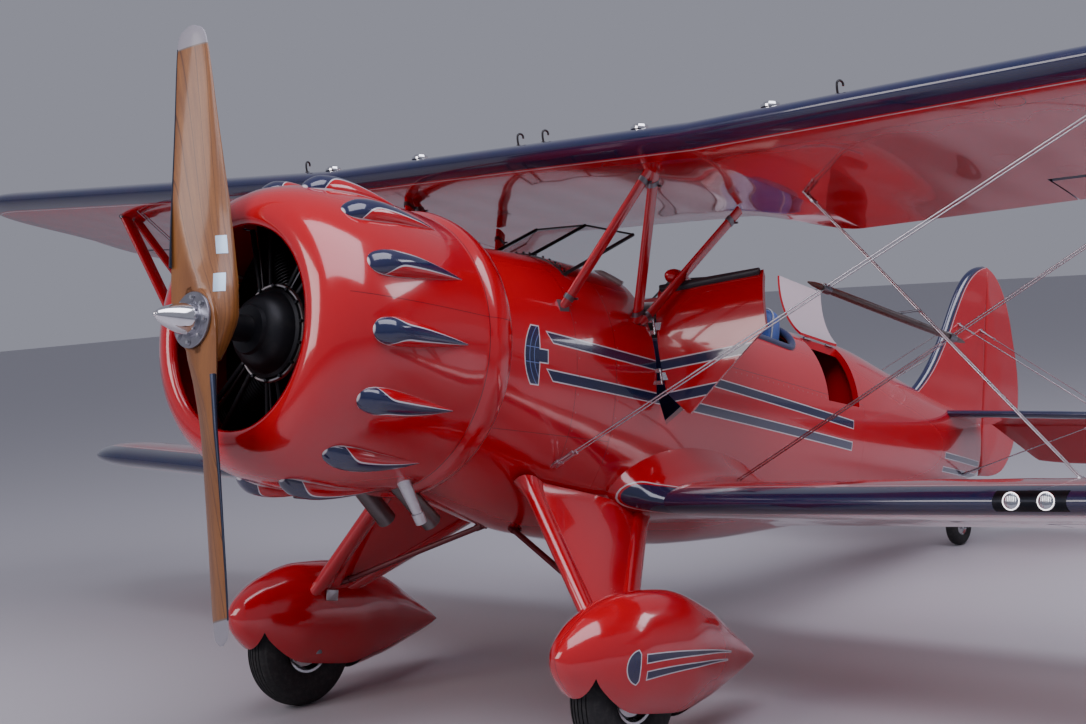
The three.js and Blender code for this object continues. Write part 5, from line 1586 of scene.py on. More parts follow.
lamp_recess = metal("lamp recess", (0.022, 0.024, 0.03), 0.4)
lens_glass = Finish("lamp lens", (0.45, 0.48, 0.52), Metallic=0.85, Coat_Weight=1.0, Coat_Roughness=0.02)
flutes = lens_glass.split(lens_glass.object_place())[1]
ribs = (flutes * 900.0).sine()
lens = lens_glass.done(lens_glass.bump(ribs, 0.3, 0.001), 0.12)
lamp_parts = [thickened(grid_skin(lamp_cover, 16, 16), 0.0008)]
for y in (2.283, 2.422):
    nose, _, _ = section(LOWER, y, 0.5)
    bowl = spun(
        [(-0.03, 0.0), (-0.03, 0.022), (0.002, 0.034), (0.006, 0.037), (0.009, 0.035), (0.009, 0.0)], 32)
    glass = finished_in(
        spun([(0.009, 0.0), (0.009, 0.031), (0.012, 0.025), (0.0145, 0.013), (0.015, 0.0)], 32), 2)
    lamp = gather(finished_in(bowl, 1), glass)
    lamp.transform(Matrix.Translation(nose + Vector((-0.006, 0, 0.002))))
    lamp_parts.append(lamp)
piece("landing_lamps", gather(*lamp_parts), [lamp_recess, polished, lens], crease=40, slot="dark_panel")


# The lower wing meets the hull in a formed alloy fairing that swells over its leading edge.
# Columns: distance out, part of the chord, rise, swell
FILLET_ROOT, FILLET_END = 0.43, 0.6397
fillet_stages = [
    (FILLET_ROOT, 1.2, 0.06, 1.75), (0.52, 1.12, 0.035, 1.4), (0.58, 1.05, 0.015, 1.18),
    (FILLET_END, 1.0, 0.0, 1.0)]


def fillet_shape(u, w):
    stage = FILLET_ROOT + (FILLET_END - FILLET_ROOT) * w
    part, rise, swell = between(fillet_stages, stage)
    place, _, _ = section(LOWER, stage, u, (1 - part) * 0.45, part)
    place.z -= (1 - part) * CAMBER * CHORD
    middle = LOWER[1] + CAMBER * CHORD
    place.z = middle + rise + (place.z - middle) * swell
    inside = min(0.6, hull_width(place.x, place.z) - 0.006)
    place.y = inside + (FILLET_END - inside) * w
    return place


fillet_mesh = grid_skin(fillet_shape, 72, 20)
mapped(fillet_mesh, "rim", lambda place, uv: (LOWER[0] - place.x + 0.12 * (1 - uv.y), 0.0))
mapped(fillet_mesh, "over", lambda place, uv: (uv.x, 0.0))


def fillet_pattern(finish):
    """The navy leading edge narrows to a point as it meets the hull."""
    behind, _, _ = finish.map_named("rim")
    _, out, _ = finish.map_named("skin")
    edge = out ** 0.6 * (BAND + 0.1) - 0.1
    seam = finish.band(out, 0.965, 0.006, 0.003)
    finish.over(seam * 0.7, (0.06, 0.003, 0.006))
    finish.over(finish.below(behind, edge, 0.0015), NAVY)
    finish.over(finish.band(behind, edge + 0.014, 0.0038), PIN_LINE)


fillet_paint = sprayed("fillet paint", pattern=fillet_pattern)
mirrored(piece(
    "left_wing_root_fairing", sewn(fillet_mesh), [fillet_paint], stands_for=["left_wing_fillet"], crease=40,
    slot="red_paint"))


# The wings are held apart by streamlined steel tube struts in painted fairings, with pinned clamps at
# their ends: an N on each side over the cockpit, and a slanting N near each tip.
def strut(start, end, chord, thick, rows=24, ends=(1.0, 1.0)):
    """A faired tube, round in front and fine behind. Its section grows by the ends' factors."""
    start, end = Vector(start), Vector(end)
    run = (end - start).normalized()
    fore = Vector((1, 0, 0))
    ahead_way = (fore - run * fore.dot(run)).normalized()
    side_way = run.cross(ahead_way)

    def shape(u, w):
        a = 2 * math.pi * u
        by_start, by_end = max(0.0, 1 - w / 0.16), max(0.0, (w - 0.84) / 0.16)
        grown = 1 + (ends[0] - 1) * by_start ** 2 + (ends[1] - 1) * by_end ** 2
        along = chord / 2 * math.cos(a)
        across = thick / 2 * math.sin(a) * (0.62 + 0.38 * math.cos(a)) * 1.18
        return start.lerp(end, w) + (ahead_way * along + side_way * across) * grown
    return sewn(grid_skin(shape, 28, rows))


strut_red = sprayed("strut red", gloss=0.16, dust=0.14)
steel_fitting = metal("steel fitting", (0.2, 0.2, 0.22), 0.34, tint=(0.1, 0.09, 0.08))


def cuff(start, end, place, chord, thick, length=0.03):
    """A clamp band round a strut, with its pinch bolt."""
    start, end = Vector(start), Vector(end)
    run = (end - start).normalized()
    at = start.lerp(end, place)
    band = strut(at - run * length / 2, at + run * length / 2, chord + 0.008, thick + 0.008, rows=2)
    bolt = rod(
        at + Vector((-chord / 2 - 0.006, -0.016, 0)), at + Vector((-chord / 2 - 0.006, 0.016, 0)), 0.005, 8)
    return gather(band, bolt)


def cabane_head(x):
    return Vector((x, 0.75, chord_line(UPPER, x, 0.75) - 0.028))


CABANE = (
    (Vector((-1.6, 0.455, 0.25)), cabane_head(-1.79), 0.062, 0.026),
    (Vector((-2.12, 0.455, 0.25)), cabane_head(-1.81), 0.062, 0.026),
    (Vector((-2.145, 0.455, 0.25)), cabane_head(-2.46), 0.062, 0.026),
)
cabane_parts = [strut(*line) for line in CABANE]
for foot, head, chord, thick in CABANE:
    for place in (0.075, 0.9):
        cabane_parts.append(finished_in(cuff(foot, head, place, chord, thick, 0.022), 1))
    fitting = hull_of([foot + Vector((x, y, z)) for x in (-0.03, 0.03) for y, z in (
        (0.012, -0.055), (0.018, -0.055), (0.006, 0.035), (0.0, 0.035), (-0.012, 0.035))])
    cabane_parts.append(finished_in(fitting, 1))
mirrored(piece(
    "left_cabane_strut_set", gather(*cabane_parts), [strut_red, steel_fitting],
    stands_for=["left_cabane_struts"], crease=50, slot="red_paint"))

# A red teardrop housing stands on a short arm off the port rear cabane strut.
housing = spun([
    (0.085, 0.0), (0.08, 0.014), (0.062, 0.027), (0.035, 0.036), (0.0, 0.038), (-0.04, 0.03), (-0.08, 0.016),
    (-0.11, 0.003), (-0.112, 0.0)], 28)
housing_at = CABANE[2][0].lerp(CABANE[2][1], 0.42)
housing.transform(Matrix.Translation(housing_at + Vector((-0.02, -0.045, 0.0))))
arm_foot = housing_at + Vector((0.0, -0.012, 0.0))
arm = rod(arm_foot + Vector((0, -0.05, 0)), arm_foot, 0.012, 12)
piece("strut_housing", gather(housing, arm), [strut_red], crease=50, slot="red_paint")


def in_upper(x, y):
    return Vector((x, y, chord_line(UPPER, x, y) + 0.03))


def in_lower(x, y):
    return Vector((x, y, chord_line(LOWER, x, y) + 0.03))


INTERPLANE = (
    (in_lower(-2.43, 2.64), in_upper(-1.79, 3.2), 0.085, 0.034),
    (in_lower(-3.1, 2.64), in_upper(-2.46, 3.2), 0.085, 0.034),
    (in_lower(-3.06, 2.64), in_upper(-1.83, 3.2), 0.066, 0.026),
)
interplane_parts = [strut(*line, rows=32) for line in INTERPLANE]
for foot, head, chord, thick in INTERPLANE:
    for place in (0.045, 0.955):
        interplane_parts.append(finished_in(cuff(foot, head, place, chord, thick, 0.028), 1))
mirrored(piece(
    "left_interplane_strut_set", gather(*interplane_parts), [strut_red, steel_fitting],
    stands_for=["left_interplane_strut"], crease=50, slot="red_paint"))


# Stainless wires run in pairs, with fork ends and lock nuts on pinned lugs. A wooden javelin bar keeps
# them from humming where they cross.
def wire(start, end, spread=0.0):
    """One wire, or a pair that the spread sets apart, pinned at both ends."""
    start, end = Vector(start), Vector(end)
    run = (end - start).normalized()
    parts = []
    for shift in ((spread, -spread) if spread else (0.0,)):
        off = Vector((shift, 0, 0))
        parts.append(rod(start + off, end + off, 0.0036, 8))
        for tip, way in ((start + off, run), (end + off, -run)):
            parts.append(rod(tip + way * 0.03, tip + way * 0.12, 0.0065, 10))
            parts.append(rod(tip + way * 0.118, tip + way * 0.132, 0.0085, 6))
            parts.append(rod(tip, tip + way * 0.045, 0.0095, 10))
    if spread:
        half_pin = Vector((spread + 0.012, 0, 0))
        for place in (start, end):
            parts.append(rod(place + half_pin, place - half_pin, 0.007, 10))
    return gather(*parts)


SPREAD = 0.014
flying_front = (Vector((-1.63, 0.43, -0.43)), in_upper(-1.73, 3.05))
flying_rear = (Vector((-2.8, 0.47, -0.48)), in_upper(-2.52, 3.05))
landing = (in_upper(-2.34, 1.125), in_lower(-2.52, 2.49))
CROSSING = 0.49
crossing_front = flying_front[0].lerp(flying_front[1], CROSSING)
crossing_rear = flying_rear[0].lerp(flying_rear[1], CROSSING)
javelin_run = (crossing_rear - crossing_front).normalized()
wire_steel = metal("wire steel", (0.5, 0.5, 0.54), 0.24, grain=20.0, tint=(0.25, 0.24, 0.24))
mirrored(piece(
    "left_wing_wires", gather(*(wire(*run, spread=SPREAD) for run in (flying_front, flying_rear, landing))),
    [wire_steel], stands_for=["left_wing_rigging"], crease=50, slot="bare_metal"))
brown_bar = Finish("javelin bar", (0.055, 0.018, 0.012), Coat_Weight=0.4, Coat_Roughness=0.2)
bar_grain = brown_bar.noise(brown_bar.stretched(brown_bar.object_place(), (2.0, 60.0, 60.0)), 3.0, 4.0)
brown_bar.over(brown_bar.ramp_of(bar_grain, 0.4, 0.7) * 0.5, (0.1, 0.035, 0.02))
javelin_brown = brown_bar.done(brown_bar.bump(bar_grain, 0.1, 0.0006), 0.4)
bar_start, bar_end = crossing_front - javelin_run * 0.12, crossing_rear + javelin_run * 0.12
bar_radii = [
    (0.0, 0.003), (0.05, 0.012), (0.18, 0.0155), (0.5, 0.0165), (0.82, 0.0155), (0.95, 0.012), (1.0, 0.003)]
bar = hose([bar_start.lerp(bar_end, k / 30) for k in range(31)], lambda part: between(bar_radii, part)[0], 14)
ties = []
for at in (crossing_front, crossing_rear):
    ties.append(finished_in(rod(at - javelin_run * 0.026, at + javelin_run * 0.026, 0.019, 16), 1))
landing_run = landing[1] - landing[0]
meeting = landing[0] + landing_run * ((crossing_front.y - landing[0].y) / landing_run.y)
ties.append(finished_in(rod(meeting, crossing_front.lerp(crossing_rear, 0.5), 0.005, 10), 1))
mirrored(piece(
    "left_javelin_bar", gather(bar, *ties), [javelin_brown, steel_fitting], crease=50, slot="varnished_wood"))


# Each main leg is a welded tube V in an alloy fairing: a rounded front tube, a rear tube and a flat
# web between them. A brace runs inboard, and the pant hides its foot and the stub axle.
AXLE = Vector((-1.51, 0.98, -1.315))
leg_top = (Vector((-1.52, 0.4, -0.5)), Vector((-2.25, 0.44, -0.575)))
leg_foot = (Vector((-1.47, 0.862, -1.09)), Vector((-1.66, 0.862, -1.06)))


def web_shape(u, w):
    """The web, a shallow lens between the two tubes, closed round its edges."""
    a = 2 * math.pi * u
    front, rear = leg_top[0].lerp(leg_foot[0], w), leg_top[1].lerp(leg_foot[1], w)
    normal = (leg_foot[0] - leg_top[0]).cross(leg_top[1] - leg_top[0]).normalized()
    return front.lerp(rear, 0.5 - 0.5 * math.cos(a)) + normal * (0.01 * math.sin(a))


leg_parts = [
    strut(top, foot + (foot - top).normalized() * 0.02, chord, thick, 40, (grown, 1.0))
    for top, foot, chord, thick, grown in (
        (leg_top[0], leg_foot[0], 0.11, 0.062, 1.5), (leg_top[1], leg_foot[1], 0.09, 0.05, 1.3))]
leg_parts.append(sewn(grid_skin(web_shape, 32, 24)))
mirrored(piece(
    "left_leg_fairing", gather(*leg_parts), [strut_red], stands_for=["left_gear_leg"], crease=50,
    slot="red_paint"))
brace_dark = metal("brace dark red", (0.11, 0.006, 0.01), 0.35, metallic=0.0, tint=(0.05, 0.02, 0.02))
brace_ends = (Vector((-1.78, 0.06, -0.69)), Vector((-1.59, 0.82, -1.017)))
mirrored(piece(
    "left_leg_brace",
    gather(
        strut(*brace_ends, 0.044, 0.03), *(cuff(*brace_ends, place, 0.044, 0.03) for place in (0.06, 0.94))),
    [brace_dark], stands_for=["left_gear_brace"], crease=50, slot="red_paint"))
axle_parts = rod((AXLE.x, 0.835, AXLE.z), (AXLE.x, 1.052, AXLE.z), 0.0148, 20)
post = rod((AXLE.x, 0.848, AXLE.z - 0.03), leg_foot[0], 0.02, 16)
mirrored(piece("left_stub_axle", gather(axle_parts, post), [steel_fitting], crease=50, slot="dark_metal"))

# The wheel pants are moulded in two halves round a wide open well, gloss red with a plain navy half
# moon and two tapering stripes outboard, and a small screwed inspection plate inboard.
pant_stages = [
    (0.432, 0.004, 0.136, 0.124), (0.423, 0.028, 0.162, 0.097), (0.388, 0.068, 0.214, 0.042),
    (0.262, 0.128, 0.308, -0.048), (0.05, 0.177, 0.385, -0.117), (-0.2, 0.182, 0.403, -0.122),
    (-0.46, 0.136, 0.344, -0.062), (-0.705, 0.062, 0.234, 0.028), (-0.86, 0.017, 0.156, 0.096),
    (-0.9, 0.004, 0.13, 0.12)]


def pant_shape(u, w):
    forward = 0.432 - 1.332 * (0.5 - 0.5 * math.cos(math.pi * w)) ** 0.92
    half, top, bottom = between(pant_stages, forward)
    a = 2 * math.pi * u
    power = 2 / 2.15
    side = half * math.copysign(abs(math.cos(a)) ** power, math.cos(a))
    up = (top + bottom) / 2 + (top - bottom) / 2 * math.copysign(abs(math.sin(a)) ** power, math.sin(a))
    return AXLE + Vector((forward, side, up))


def pant_pattern(finish):
    x, z, _ = finish.map_named("side")
    outboard, _, _ = finish.map_named("out")
    shown = finish.above(outboard, 0.02, 0.004)
    painted = []
    front_x, rear_x, moon_z = -1.306, -1.398, -1.205
    dz = z - moon_z
    round_edge = far(x - front_x, dz)
    far_edge = ((x - rear_x) ** 2.0 + dz * dz).root()
    for colour, grow in ((PIN_LINE, 0.0045), (NAVY, 0.0)):
        moon = finish.below(far_edge, 0.066 + grow) * finish.below(round_edge, 0.1 + grow)
        painted.append((moon * finish.above(x, -1.392 - grow), colour))
        # Columns: front, height there, rear, height there, half width in front
        for front, high, rear, low, half in (
                (-1.428, -1.171, -2.1, -1.159, 0.015), (-1.434, -1.236, -2.06, -1.191, 0.014)):
            part = (front - x) / (front - rear)
            middle = high + part * (low - high)
            off = abs(z - (middle + part * (1.0 - part) * 0.055))
            stripe = finish.below(off, (1.0 - part) * half + grow)
            painted.append((stripe * finish.below(x, front + grow) * finish.above(x, rear), colour))
    for mask, colour in painted:
        finish.over(mask * shown, colour)
    seam = finish.band(outboard, 0.0, 0.0012, 0.0006)
    heads = dots(finish, x, outboard, 0.09, 0.016, 0.0045) * finish.above(z, -1.25)
    finish.over(seam * 0.7, (0.06, 0.003, 0.006))
    return finish.bump(heads - seam, 0.5, 0.0009)


pant_paint = sprayed("pant paint", pattern=pant_pattern)
pant_lining = metal("pant lining", (0.02, 0.02, 0.022), 0.7, metallic=0.0)
pant_mesh = grid_skin(pant_shape, 64, 90)
mapped(pant_mesh, "side", lambda place, uv: (place.x, place.z))
mapped(pant_mesh, "out", lambda place, uv: (place.y - AXLE.y, 0.0))
left_pant = piece(
    "left_wheel_pant_shell", sewn(pant_mesh), [pant_paint, pant_lining], stands_for=["left_wheel_pant"],
    slot="red_paint")
well = finished_in(rod(AXLE + Vector((0, -0.104, 0)), AXLE + Vector((0, 0.104, 0)), 0.313, 64), 1)
carved(left_pant, [well])
smoothed(left_pant, 35)
mirrored(left_pant)
plate_at = AXLE + Vector((-0.02, -0.1795, 0.245))
plate_mesh = hull_of([
    plate_at + Vector((x, y, z)) for x in (-0.035, 0.035) for y in (-0.003, 0.004) for z in (-0.025, 0.025)])
plates = [bevelled(plate_mesh, 0.0018)] + [
    rod(plate_at + Vector((x, -0.006, z)), plate_at + Vector((x, -0.002, z)), 0.004, 10)
    for x in (-0.027, 0.027) for z in (-0.018, 0.018)]
mirrored(piece("left_pant_plate", gather(*plates), [pale_alloy], crease=40, slot="bare_metal"))


# The main tyres are grooved rubber on spun alloy wheels held by a ring of bolts.
def across_axle(mesh, at):
    """Stands a shape spun about the thrust line on an axle across the aircraft."""
    mesh.transform(
        Matrix.Translation(at) @ Matrix.Rotation(nose_up, 4, "Y") @ Matrix.Rotation(math.pi / 2, 4, "Z"))
    return mesh


rubber = Finish("tyre rubber", (0.018, 0.018, 0.019), Specular_IOR_Level=0.35)
rubber_place = rubber.object_place()
scuff = rubber.noise(rubber_place, 40.0, 6.0, 0.7)
rubber.over(rubber.ramp_of(scuff, 0.45, 0.8) * 0.5, (0.075, 0.068, 0.065))
tyre_rubber = rubber.done(rubber.bump(rubber.noise(rubber_place, 500.0, 2.0), 0.25, 0.0008), 0.78)
TYRE_RADIUS = 0.285
tyre_profile = [
    (-0.0585, 0.1285), (-0.066, 0.136), (-0.0745, 0.16), (-0.0795, 0.192), (-0.078, 0.218), (-0.0715, 0.242),
    (-0.064, 0.256), (-0.061, 0.257), (-0.056, 0.265), (-0.045, 0.2765)]
for groove in (-0.036, -0.018, 0.0, 0.018, 0.036):
    skin_radius = TYRE_RADIUS - 0.0065 * (groove / 0.036) ** 2
    tyre_profile += [
        (groove - 0.003, skin_radius), (groove - 0.0022, skin_radius - 0.007),
        (groove + 0.0022, skin_radius - 0.007), (groove + 0.003, skin_radius)]
tyre_profile += [(-x, r) for x, r in tyre_profile[:10][::-1]] + [(-0.0585, 0.1285)]
wheel_profile = [
    (-0.066, 0.016), (-0.066, 0.04), (-0.06, 0.045), (-0.042, 0.052), (-0.04, 0.098), (-0.047, 0.108),
    (-0.06, 0.116), (-0.062, 0.127), (-0.056, 0.128), (0.056, 0.128), (0.062, 0.127), (0.06, 0.116),
    (0.047, 0.108), (0.04, 0.098), (0.042, 0.052), (0.06, 0.045), (0.066, 0.04), (0.066, 0.016),
    (-0.066, 0.016)]
for side, sign in (("left", 1), ("right", -1)):
    at = Vector((AXLE.x, sign * AXLE.y, AXLE.z))
    piece(f"{side}_main_tyre", across_axle(spun(tyre_profile, 96), at), [tyre_rubber], body=f"{side}_wheel",
          stands_for=[f"{side}_tyre"], crease=40, slot="tyre")
    wheel_parts = [spun(wheel_profile, 64)]
    for y, z in ring_of(8, 0.075):
        for face in (-1, 1):
            wheel_parts.append(rod((0.0395 * face, y, z), (0.049 * face, y, z), 0.0085, 6))
    piece(f"{side}_main_wheel", across_axle(gather(*wheel_parts), at), [bright_alloy], body=f"{side}_wheel",
          stands_for=[f"{side}_wheel_hub"], crease=35, slot="bare_metal")


# The tail surfaces are welded tube under fabric, with the wings' navy leading edge. The fin rises in
# one curve from the deck, and the rudder hangs on three hinges with its post behind it.
TAIL_HINGE = -6.375


def bezier(points, t):
    a, b, c, d = (Vector(point) for point in points)
    return a * (1 - t) ** 3 + b * 3 * t * (1 - t) ** 2 + c * 3 * t * t * (1 - t) + d * t ** 3


def outline_at(curves, steps=40):
    """A table of one edge of a surface: place along it, and how far forward the edge is there."""
    found = []
    for curve in curves:
        for k in range(steps + 1):
            at = bezier(curve, k / steps)
            found.append((at.y, at.x))
    found.sort()
    rows = [found[0]]
    for row in found[1:]:
        if row[0] - rows[-1][0] > 0.004:
            rows.append(row)
    return rows


def edge_at(rows, place):
    """The forward place of an edge, straight between the places of its table."""
    place = min(max(place, rows[0][0]), rows[-1][0])
    k = next(i for i in range(len(rows) - 1) if place <= rows[i + 1][0])
    t = (place - rows[k][0]) / (rows[k + 1][0] - rows[k][0])
    return rows[k][1] + (rows[k + 1][1] - rows[k][1]) * t


fin_edge = outline_at([
    ((-5.33, 0.23), (-5.56, 0.34), (-5.7, 0.52), (-5.83, 0.74)),
    ((-5.83, 0.74), (-5.94, 0.93), (-6.04, 1.19), (-6.365, 1.215))])
rudder_edge = outline_at([
    ((-6.385, 1.215), (-6.56, 1.205), (-6.72, 1.06), (-6.815, 0.8)),
    ((-6.815, 0.8), (-6.89, 0.64), (-6.94, 0.52), (-6.94, 0.36)),
    ((-6.94, 0.36), (-6.94, 0.18), (-6.9, 0.0), (-6.74, -0.11)),
    ((-6.74, -0.11), (-6.67, -0.155), (-6.54, -0.175), (-6.385, -0.175))])


def tail_plane(spread, front_at, rear_at, half, round_front, round_rear, ends, ribs, rows=72):
    """A tail surface. Spread gives a place from (forward, along, thick). Ends say which ends are
    rounded off, and the fabric draws in between the ribs."""
    low, high = ends[0], ends[1]

    def along_at(w):
        return low + (high - low) * (0.5 * (0.5 - 0.5 * math.cos(math.pi * w)) + 0.5 * w)

    def eased(k):
        return math.sqrt(max(0.0, 1 - (1 - min(1.0, k)) ** 2))

    def shape(u, w):
        along = along_at(w)
        front, rear = front_at(along), rear_at(along)
        t = (1 + math.cos(2 * math.pi * u)) / 2
        side = 1 if u <= 0.5 else -1
        chord = max(0.0002, front - rear)
        behind, ahead = t * chord, (1 - t) * chord
        thick = half
        if round_front > 0:
            thick *= eased(behind / round_front)
        if round_rear > 0:
            k = min(1.0, ahead / round_rear)
            thick *= (0.16 + 0.84 * k) * min(1.0, math.sqrt(max(0.0, ahead) / 0.012))
        else:
            thick *= eased(ahead / 0.004)
        for at, rounded in zip((low, high), ends[2:]):
            if rounded:
                thick *= eased(abs(along - at) / 0.045)
        sag = 0.0016 * math.sin(math.pi * along / ribs) ** 2 * min(1.0, chord * t * (1 - t) * 12)
        return spread(front - t * chord, along, side * max(0.0, thick - sag))

    surface = grid_skin(shape, 48, rows)
    mapped(surface, "rim", lambda place, uv: (front_at(along_at(uv.y)) - place.x, along_at(uv.y)))
    return sewn(surface)


TAIL_BAND = 0.055


def tail_paint(name, ribs, edge=True):
    def pattern(finish):
        behind, along, _ = finish.map_named("rim")
        rib = ((along / ribs).fract() - 0.5) * ribs
        rib = abs(rib) - ribs / 2
        fabric = finish.above(behind, 0.07)
        stitches = dots(finish, behind, rib, 0.05, 0.0, 0.0028) * fabric
        tape = finish.band(rib, 0.0, 0.018, 0.001) * fabric
        finish.over(stitches * 0.4, (0.12, 0.008, 0.012))
        if edge:
            finish.over(finish.below(behind, TAIL_BAND), NAVY)
            finish.over(finish.band(behind, TAIL_BAND + 0.011, 0.0034), PIN_LINE)
        return finish.bump(tape * 0.4 + stitches, 0.35, 0.0008)
    return sprayed(name, pattern=pattern, gloss=0.16)


fin_paint = tail_paint("fin paint", 0.23)
rudder_paint = tail_paint("rudder paint", 0.23, edge=False)


def upright(forward, along, thick):
    return Vector((forward, thick, along))


piece(
    "fin_surface", tail_plane(
        upright, lambda z: edge_at(fin_edge, z), lambda z: TAIL_HINGE + SLOT, 0.026, 0.07, 0.0,
        (0.1, 1.215, False, True), 0.23, rows=84), [fin_paint], stands_for=["fin"], crease=40,
    slot="red_fabric")
piece(
    "rudder_surface", tail_plane(
        upright, lambda z: TAIL_HINGE - SLOT, lambda z: edge_at(rudder_edge, z), 0.022, 0.014, 0.3,
        (-0.175, 1.215, True, True), 0.23, rows=96), [rudder_paint], body="rudder", stands_for=["rudder"],
    crease=40, slot="red_fabric")
tail_line = ((TAIL_HINGE, 0, -0.15), (TAIL_HINGE, 0, 1.15))
moving, fixed = hinge_parts(tail_line, (0.08, 0.5, 0.94), (-0.03, 0, 0), (0.03, 0, 0), radius=0.008)
piece("rudder_hinge_brackets", fixed, [bright_alloy], slot="bare_metal")
piece("rudder_hinge_pins", moving, [bright_alloy], body="rudder", slot="bare_metal")


# The stern post is a bare alloy fairing under the fin.
def post_shape(u, w):
    z = 0.215 - 0.385 * w
    a = 2 * math.pi * u
    rear = TAIL_HINGE + SLOT + 0.0005
    front = -6.255 - 0.03 * w
    return Vector(((front + rear) / 2 + (front - rear) / 2 * math.cos(a),
                   (0.0275 + 0.02 * (0.5 + 0.5 * math.cos(a)) * (1 - w)) * math.sin(a), z))


piece("stern_post_fairing", sewn(grid_skin(post_shape, 36, 20)), [bright_alloy], crease=50, slot="bare_metal")

# Stabilizers and elevators.
TAIL_LEVEL = 0.178
ELEVATOR_HINGE = -6.26
stabilizer_edge = outline_at([
    ((-5.7, 0.02), (-5.7016, 0.11), (-5.7033, 0.21), (-5.705, 0.3)),
    ((-5.705, 0.3), (-5.73, 0.9), (-5.83, 1.48), (-6.06, 1.62)),
    ((-6.06, 1.62), (-6.12, 1.648), (-6.18, 1.65), (-6.25, 1.6505))])
elevator_edge = outline_at([
    ((-6.27, 1.64), (-6.42, 1.6), (-6.56, 1.4), (-6.62, 1.1)),
    ((-6.62, 1.1), (-6.68, 0.8), (-6.69, 0.56), (-6.65, 0.33)),
    ((-6.65, 0.33), (-6.56, 0.28), (-6.4, 0.2), (-6.27, 0.12))])


def flat_out(forward, along, thick):
    return Vector((forward, along, TAIL_LEVEL + thick))


stabilizer_paint = tail_paint("stabilizer paint", 0.27)
elevator_paint = tail_paint("elevator paint", 0.27, edge=False)
left_stabilizer = piece(
    "left_stabilizer_surface", tail_plane(
        flat_out, lambda y: edge_at(stabilizer_edge, y), lambda y: ELEVATOR_HINGE + SLOT, 0.024, 0.06, 0.0,
        (0.03, 1.6505, False, True), 0.27), [stabilizer_paint], stands_for=["left_stabilizer"], crease=40,
    slot="red_fabric")
tail_line = ((ELEVATOR_HINGE, 0.16, TAIL_LEVEL), (ELEVATOR_HINGE, 1.6, TAIL_LEVEL))
ELEVATOR_DROOP = 36
drooped = swung(tail_line, -ELEVATOR_DROOP)
left_elevator = piece(
    "left_elevator_surface", tail_plane(
        flat_out, lambda y: ELEVATOR_HINGE - SLOT, lambda y: edge_at(elevator_edge, y), 0.021, 0.014, 0.24,
        (0.12, 1.64, True, True), 0.27), [elevator_paint], body="elevators", stands_for=["left_elevator"],
    crease=40, slot="red_fabric", at=drooped @ parked)
mirrored(left_stabilizer)
mirrored(left_elevator)
moving, fixed = hinge_parts(tail_line, (0.1, 0.5, 0.88), (-0.028, 0, 0), (0.028, 0, 0), radius=0.007)
fixed_leaves = piece("left_elevator_brackets", fixed, [bright_alloy], slot="bare_metal")
moving_leaves = piece(
    "left_elevator_pins", moving, [bright_alloy], body="elevators", slot="bare_metal", at=drooped @ parked)
mirrored(fixed_leaves)
mirrored(moving_leaves)

# Wires brace the stabilizers to the fin above and to the hull below.
brace_wires = [wire(foot, head) for foot, head in (
    ((-5.98, 1.02, TAIL_LEVEL + 0.02), (-6.0, 0.02, 0.78)),
    ((-6.2, 1.02, TAIL_LEVEL + 0.02), (-6.3, 0.02, 0.78)),
    ((-5.98, 1.02, TAIL_LEVEL - 0.02), (-6.0, 0.085, -0.19)))]
for x in (-5.98, -6.2):
    brace_wires.append(rod((x, 1.02, TAIL_LEVEL - 0.028), (x, 1.02, TAIL_LEVEL + 0.028), 0.011, 12))
for x in (-6.0, -6.3):
    brace_wires.append(rod((x, 0.0, 0.78), (x, 0.034, 0.78), 0.011, 12))
mirrored(piece("left_tail_wires", gather(*brace_wires), [wire_steel], crease=50, slot="bare_metal"))

# The tail wheel castors in a forged fork under a faired post, on a solid tyre.
TAIL_AXLE_X = -6.15
TAIL_RADIUS = 0.125
TRAIL = 0.06
ground = AXLE.x * math.sin(nose_up) + AXLE.z * math.cos(nose_up) - TYRE_RADIUS
tail_axle_z = (ground + TAIL_RADIUS - TAIL_AXLE_X * math.sin(nose_up)) / math.cos(nose_up)
swivel = Vector((TAIL_AXLE_X + TRAIL * math.cos(nose_up), 0, tail_axle_z - TRAIL * math.sin(nose_up)))
standing = parked @ Matrix.Translation(swivel) @ Matrix.Rotation(nose_up, 4, "Y") @ Matrix.Translation(
    (0, 0, -TAIL_RADIUS))
FORK_TOP = 2 * TAIL_RADIUS + 0.034
fork_parts = []
crown = prism(
    [(0.034 * math.cos(math.radians(a)), 0.05 * math.sin(math.radians(a))) for a in range(-90, 91, 15)]
    + [(-0.07, 0.055), (-0.086, 0.045), (-0.086, -0.045), (-0.07, -0.055)], FORK_TOP - 0.014, FORK_TOP)
fork_parts.append(bevelled(crown, 0.003))
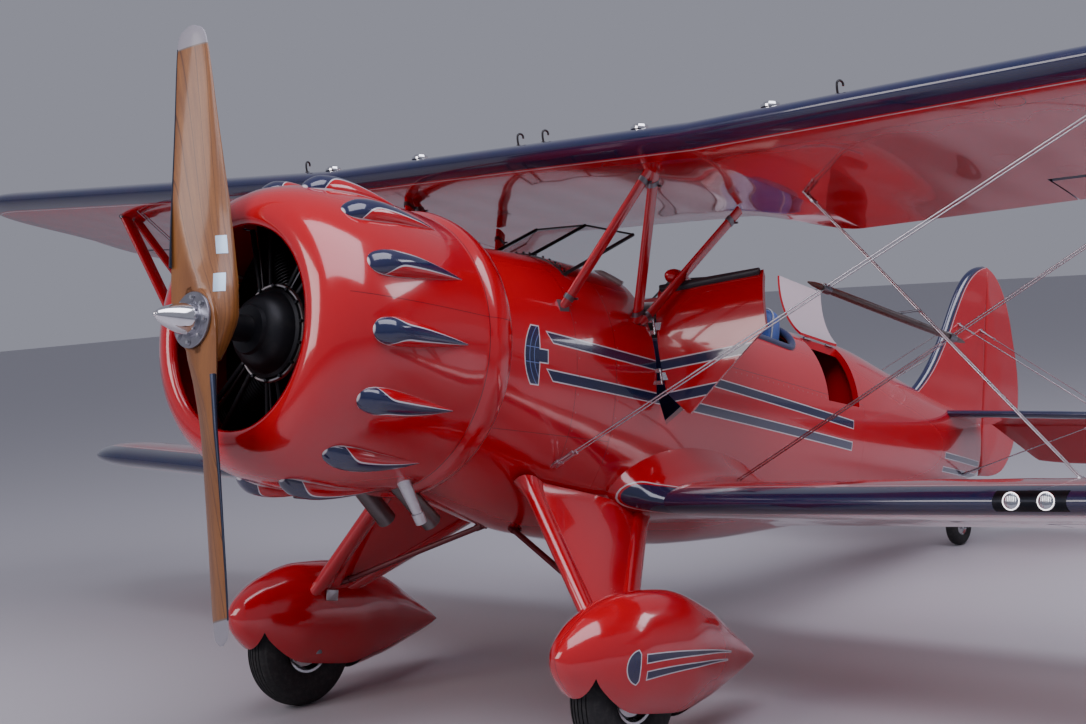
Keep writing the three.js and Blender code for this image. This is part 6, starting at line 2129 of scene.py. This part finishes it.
for side in (-1, 1):
    arm = hull_of([
        (-TRAIL + x, side * y, z) for y in (0.0455, 0.0555) for x, z in (
            (-0.022, FORK_TOP - 0.01), (0.04, FORK_TOP - 0.01), (-0.016, TAIL_RADIUS - 0.012),
            (0.016, TAIL_RADIUS - 0.012), (-0.02, TAIL_RADIUS + 0.004), (0.02, TAIL_RADIUS + 0.004))])
    fork_parts.append(bevelled(arm, 0.002))
    nut = rod((-TRAIL, side * 0.0555, TAIL_RADIUS), (-TRAIL, side * 0.068, TAIL_RADIUS), 0.012, 6)
    fork_parts.append(finished_in(nut, 1))
fork_parts.append(finished_in(rod((-TRAIL, -0.058, TAIL_RADIUS), (-TRAIL, 0.058, TAIL_RADIUS), 0.006, 16), 1))
piece("tail_fork_forging", gather(*fork_parts), [steel_fitting, bright_alloy], body="tail_fork",
      stands_for=["tail_fork"], crease=40, slot="dark_metal", at=standing)
tail_tyre = spun([
    (-0.025, 0.0605), (-0.033, 0.072), (-0.038, 0.092), (-0.035, 0.108), (-0.026, 0.119), (-0.012, 0.1245),
    (0.012, 0.1245), (0.026, 0.119), (0.035, 0.108), (0.038, 0.092), (0.033, 0.072), (0.025, 0.0605),
    (-0.025, 0.0605)], 64)
tail_hub = finished_in(spun([
    (-0.032, 0.007), (-0.032, 0.02), (-0.018, 0.024), (-0.016, 0.05), (-0.026, 0.06), (0.026, 0.06),
    (0.016, 0.05), (0.018, 0.024), (0.032, 0.02), (0.032, 0.007), (-0.032, 0.007)], 48), 1)
tail_rolling = gather(tail_tyre, tail_hub)
tail_rolling.transform(Matrix.Translation((-TRAIL, 0, TAIL_RADIUS)) @ Matrix.Rotation(math.pi / 2, 4, "Z"))
piece("tail_wheel_and_tyre", tail_rolling, [tyre_rubber, bright_alloy], body="tail_wheel",
      stands_for=["tail_wheel"], crease=40, slot="tyre", at=standing)
upward = Vector((math.sin(nose_up), 0, math.cos(nose_up)))
post_foot = swivel + upward * (FORK_TOP - TAIL_RADIUS + 0.0003)
mount_parts = [
    rod(post_foot, post_foot + upward * 0.07, 0.0315, 28),
    strut(post_foot + upward * 0.04, post_foot + upward * 0.26, 0.19, 0.064, 20, (0.75, 1.15)),
    finished_in(rod(post_foot + upward * 0.004, post_foot + upward * 0.016, 0.0345, 28), 1)]
piece("tail_post_fairing", gather(*mount_parts), [strut_red, steel_fitting], stands_for=["tail_wheel_mount"],
      crease=45, slot="red_paint")
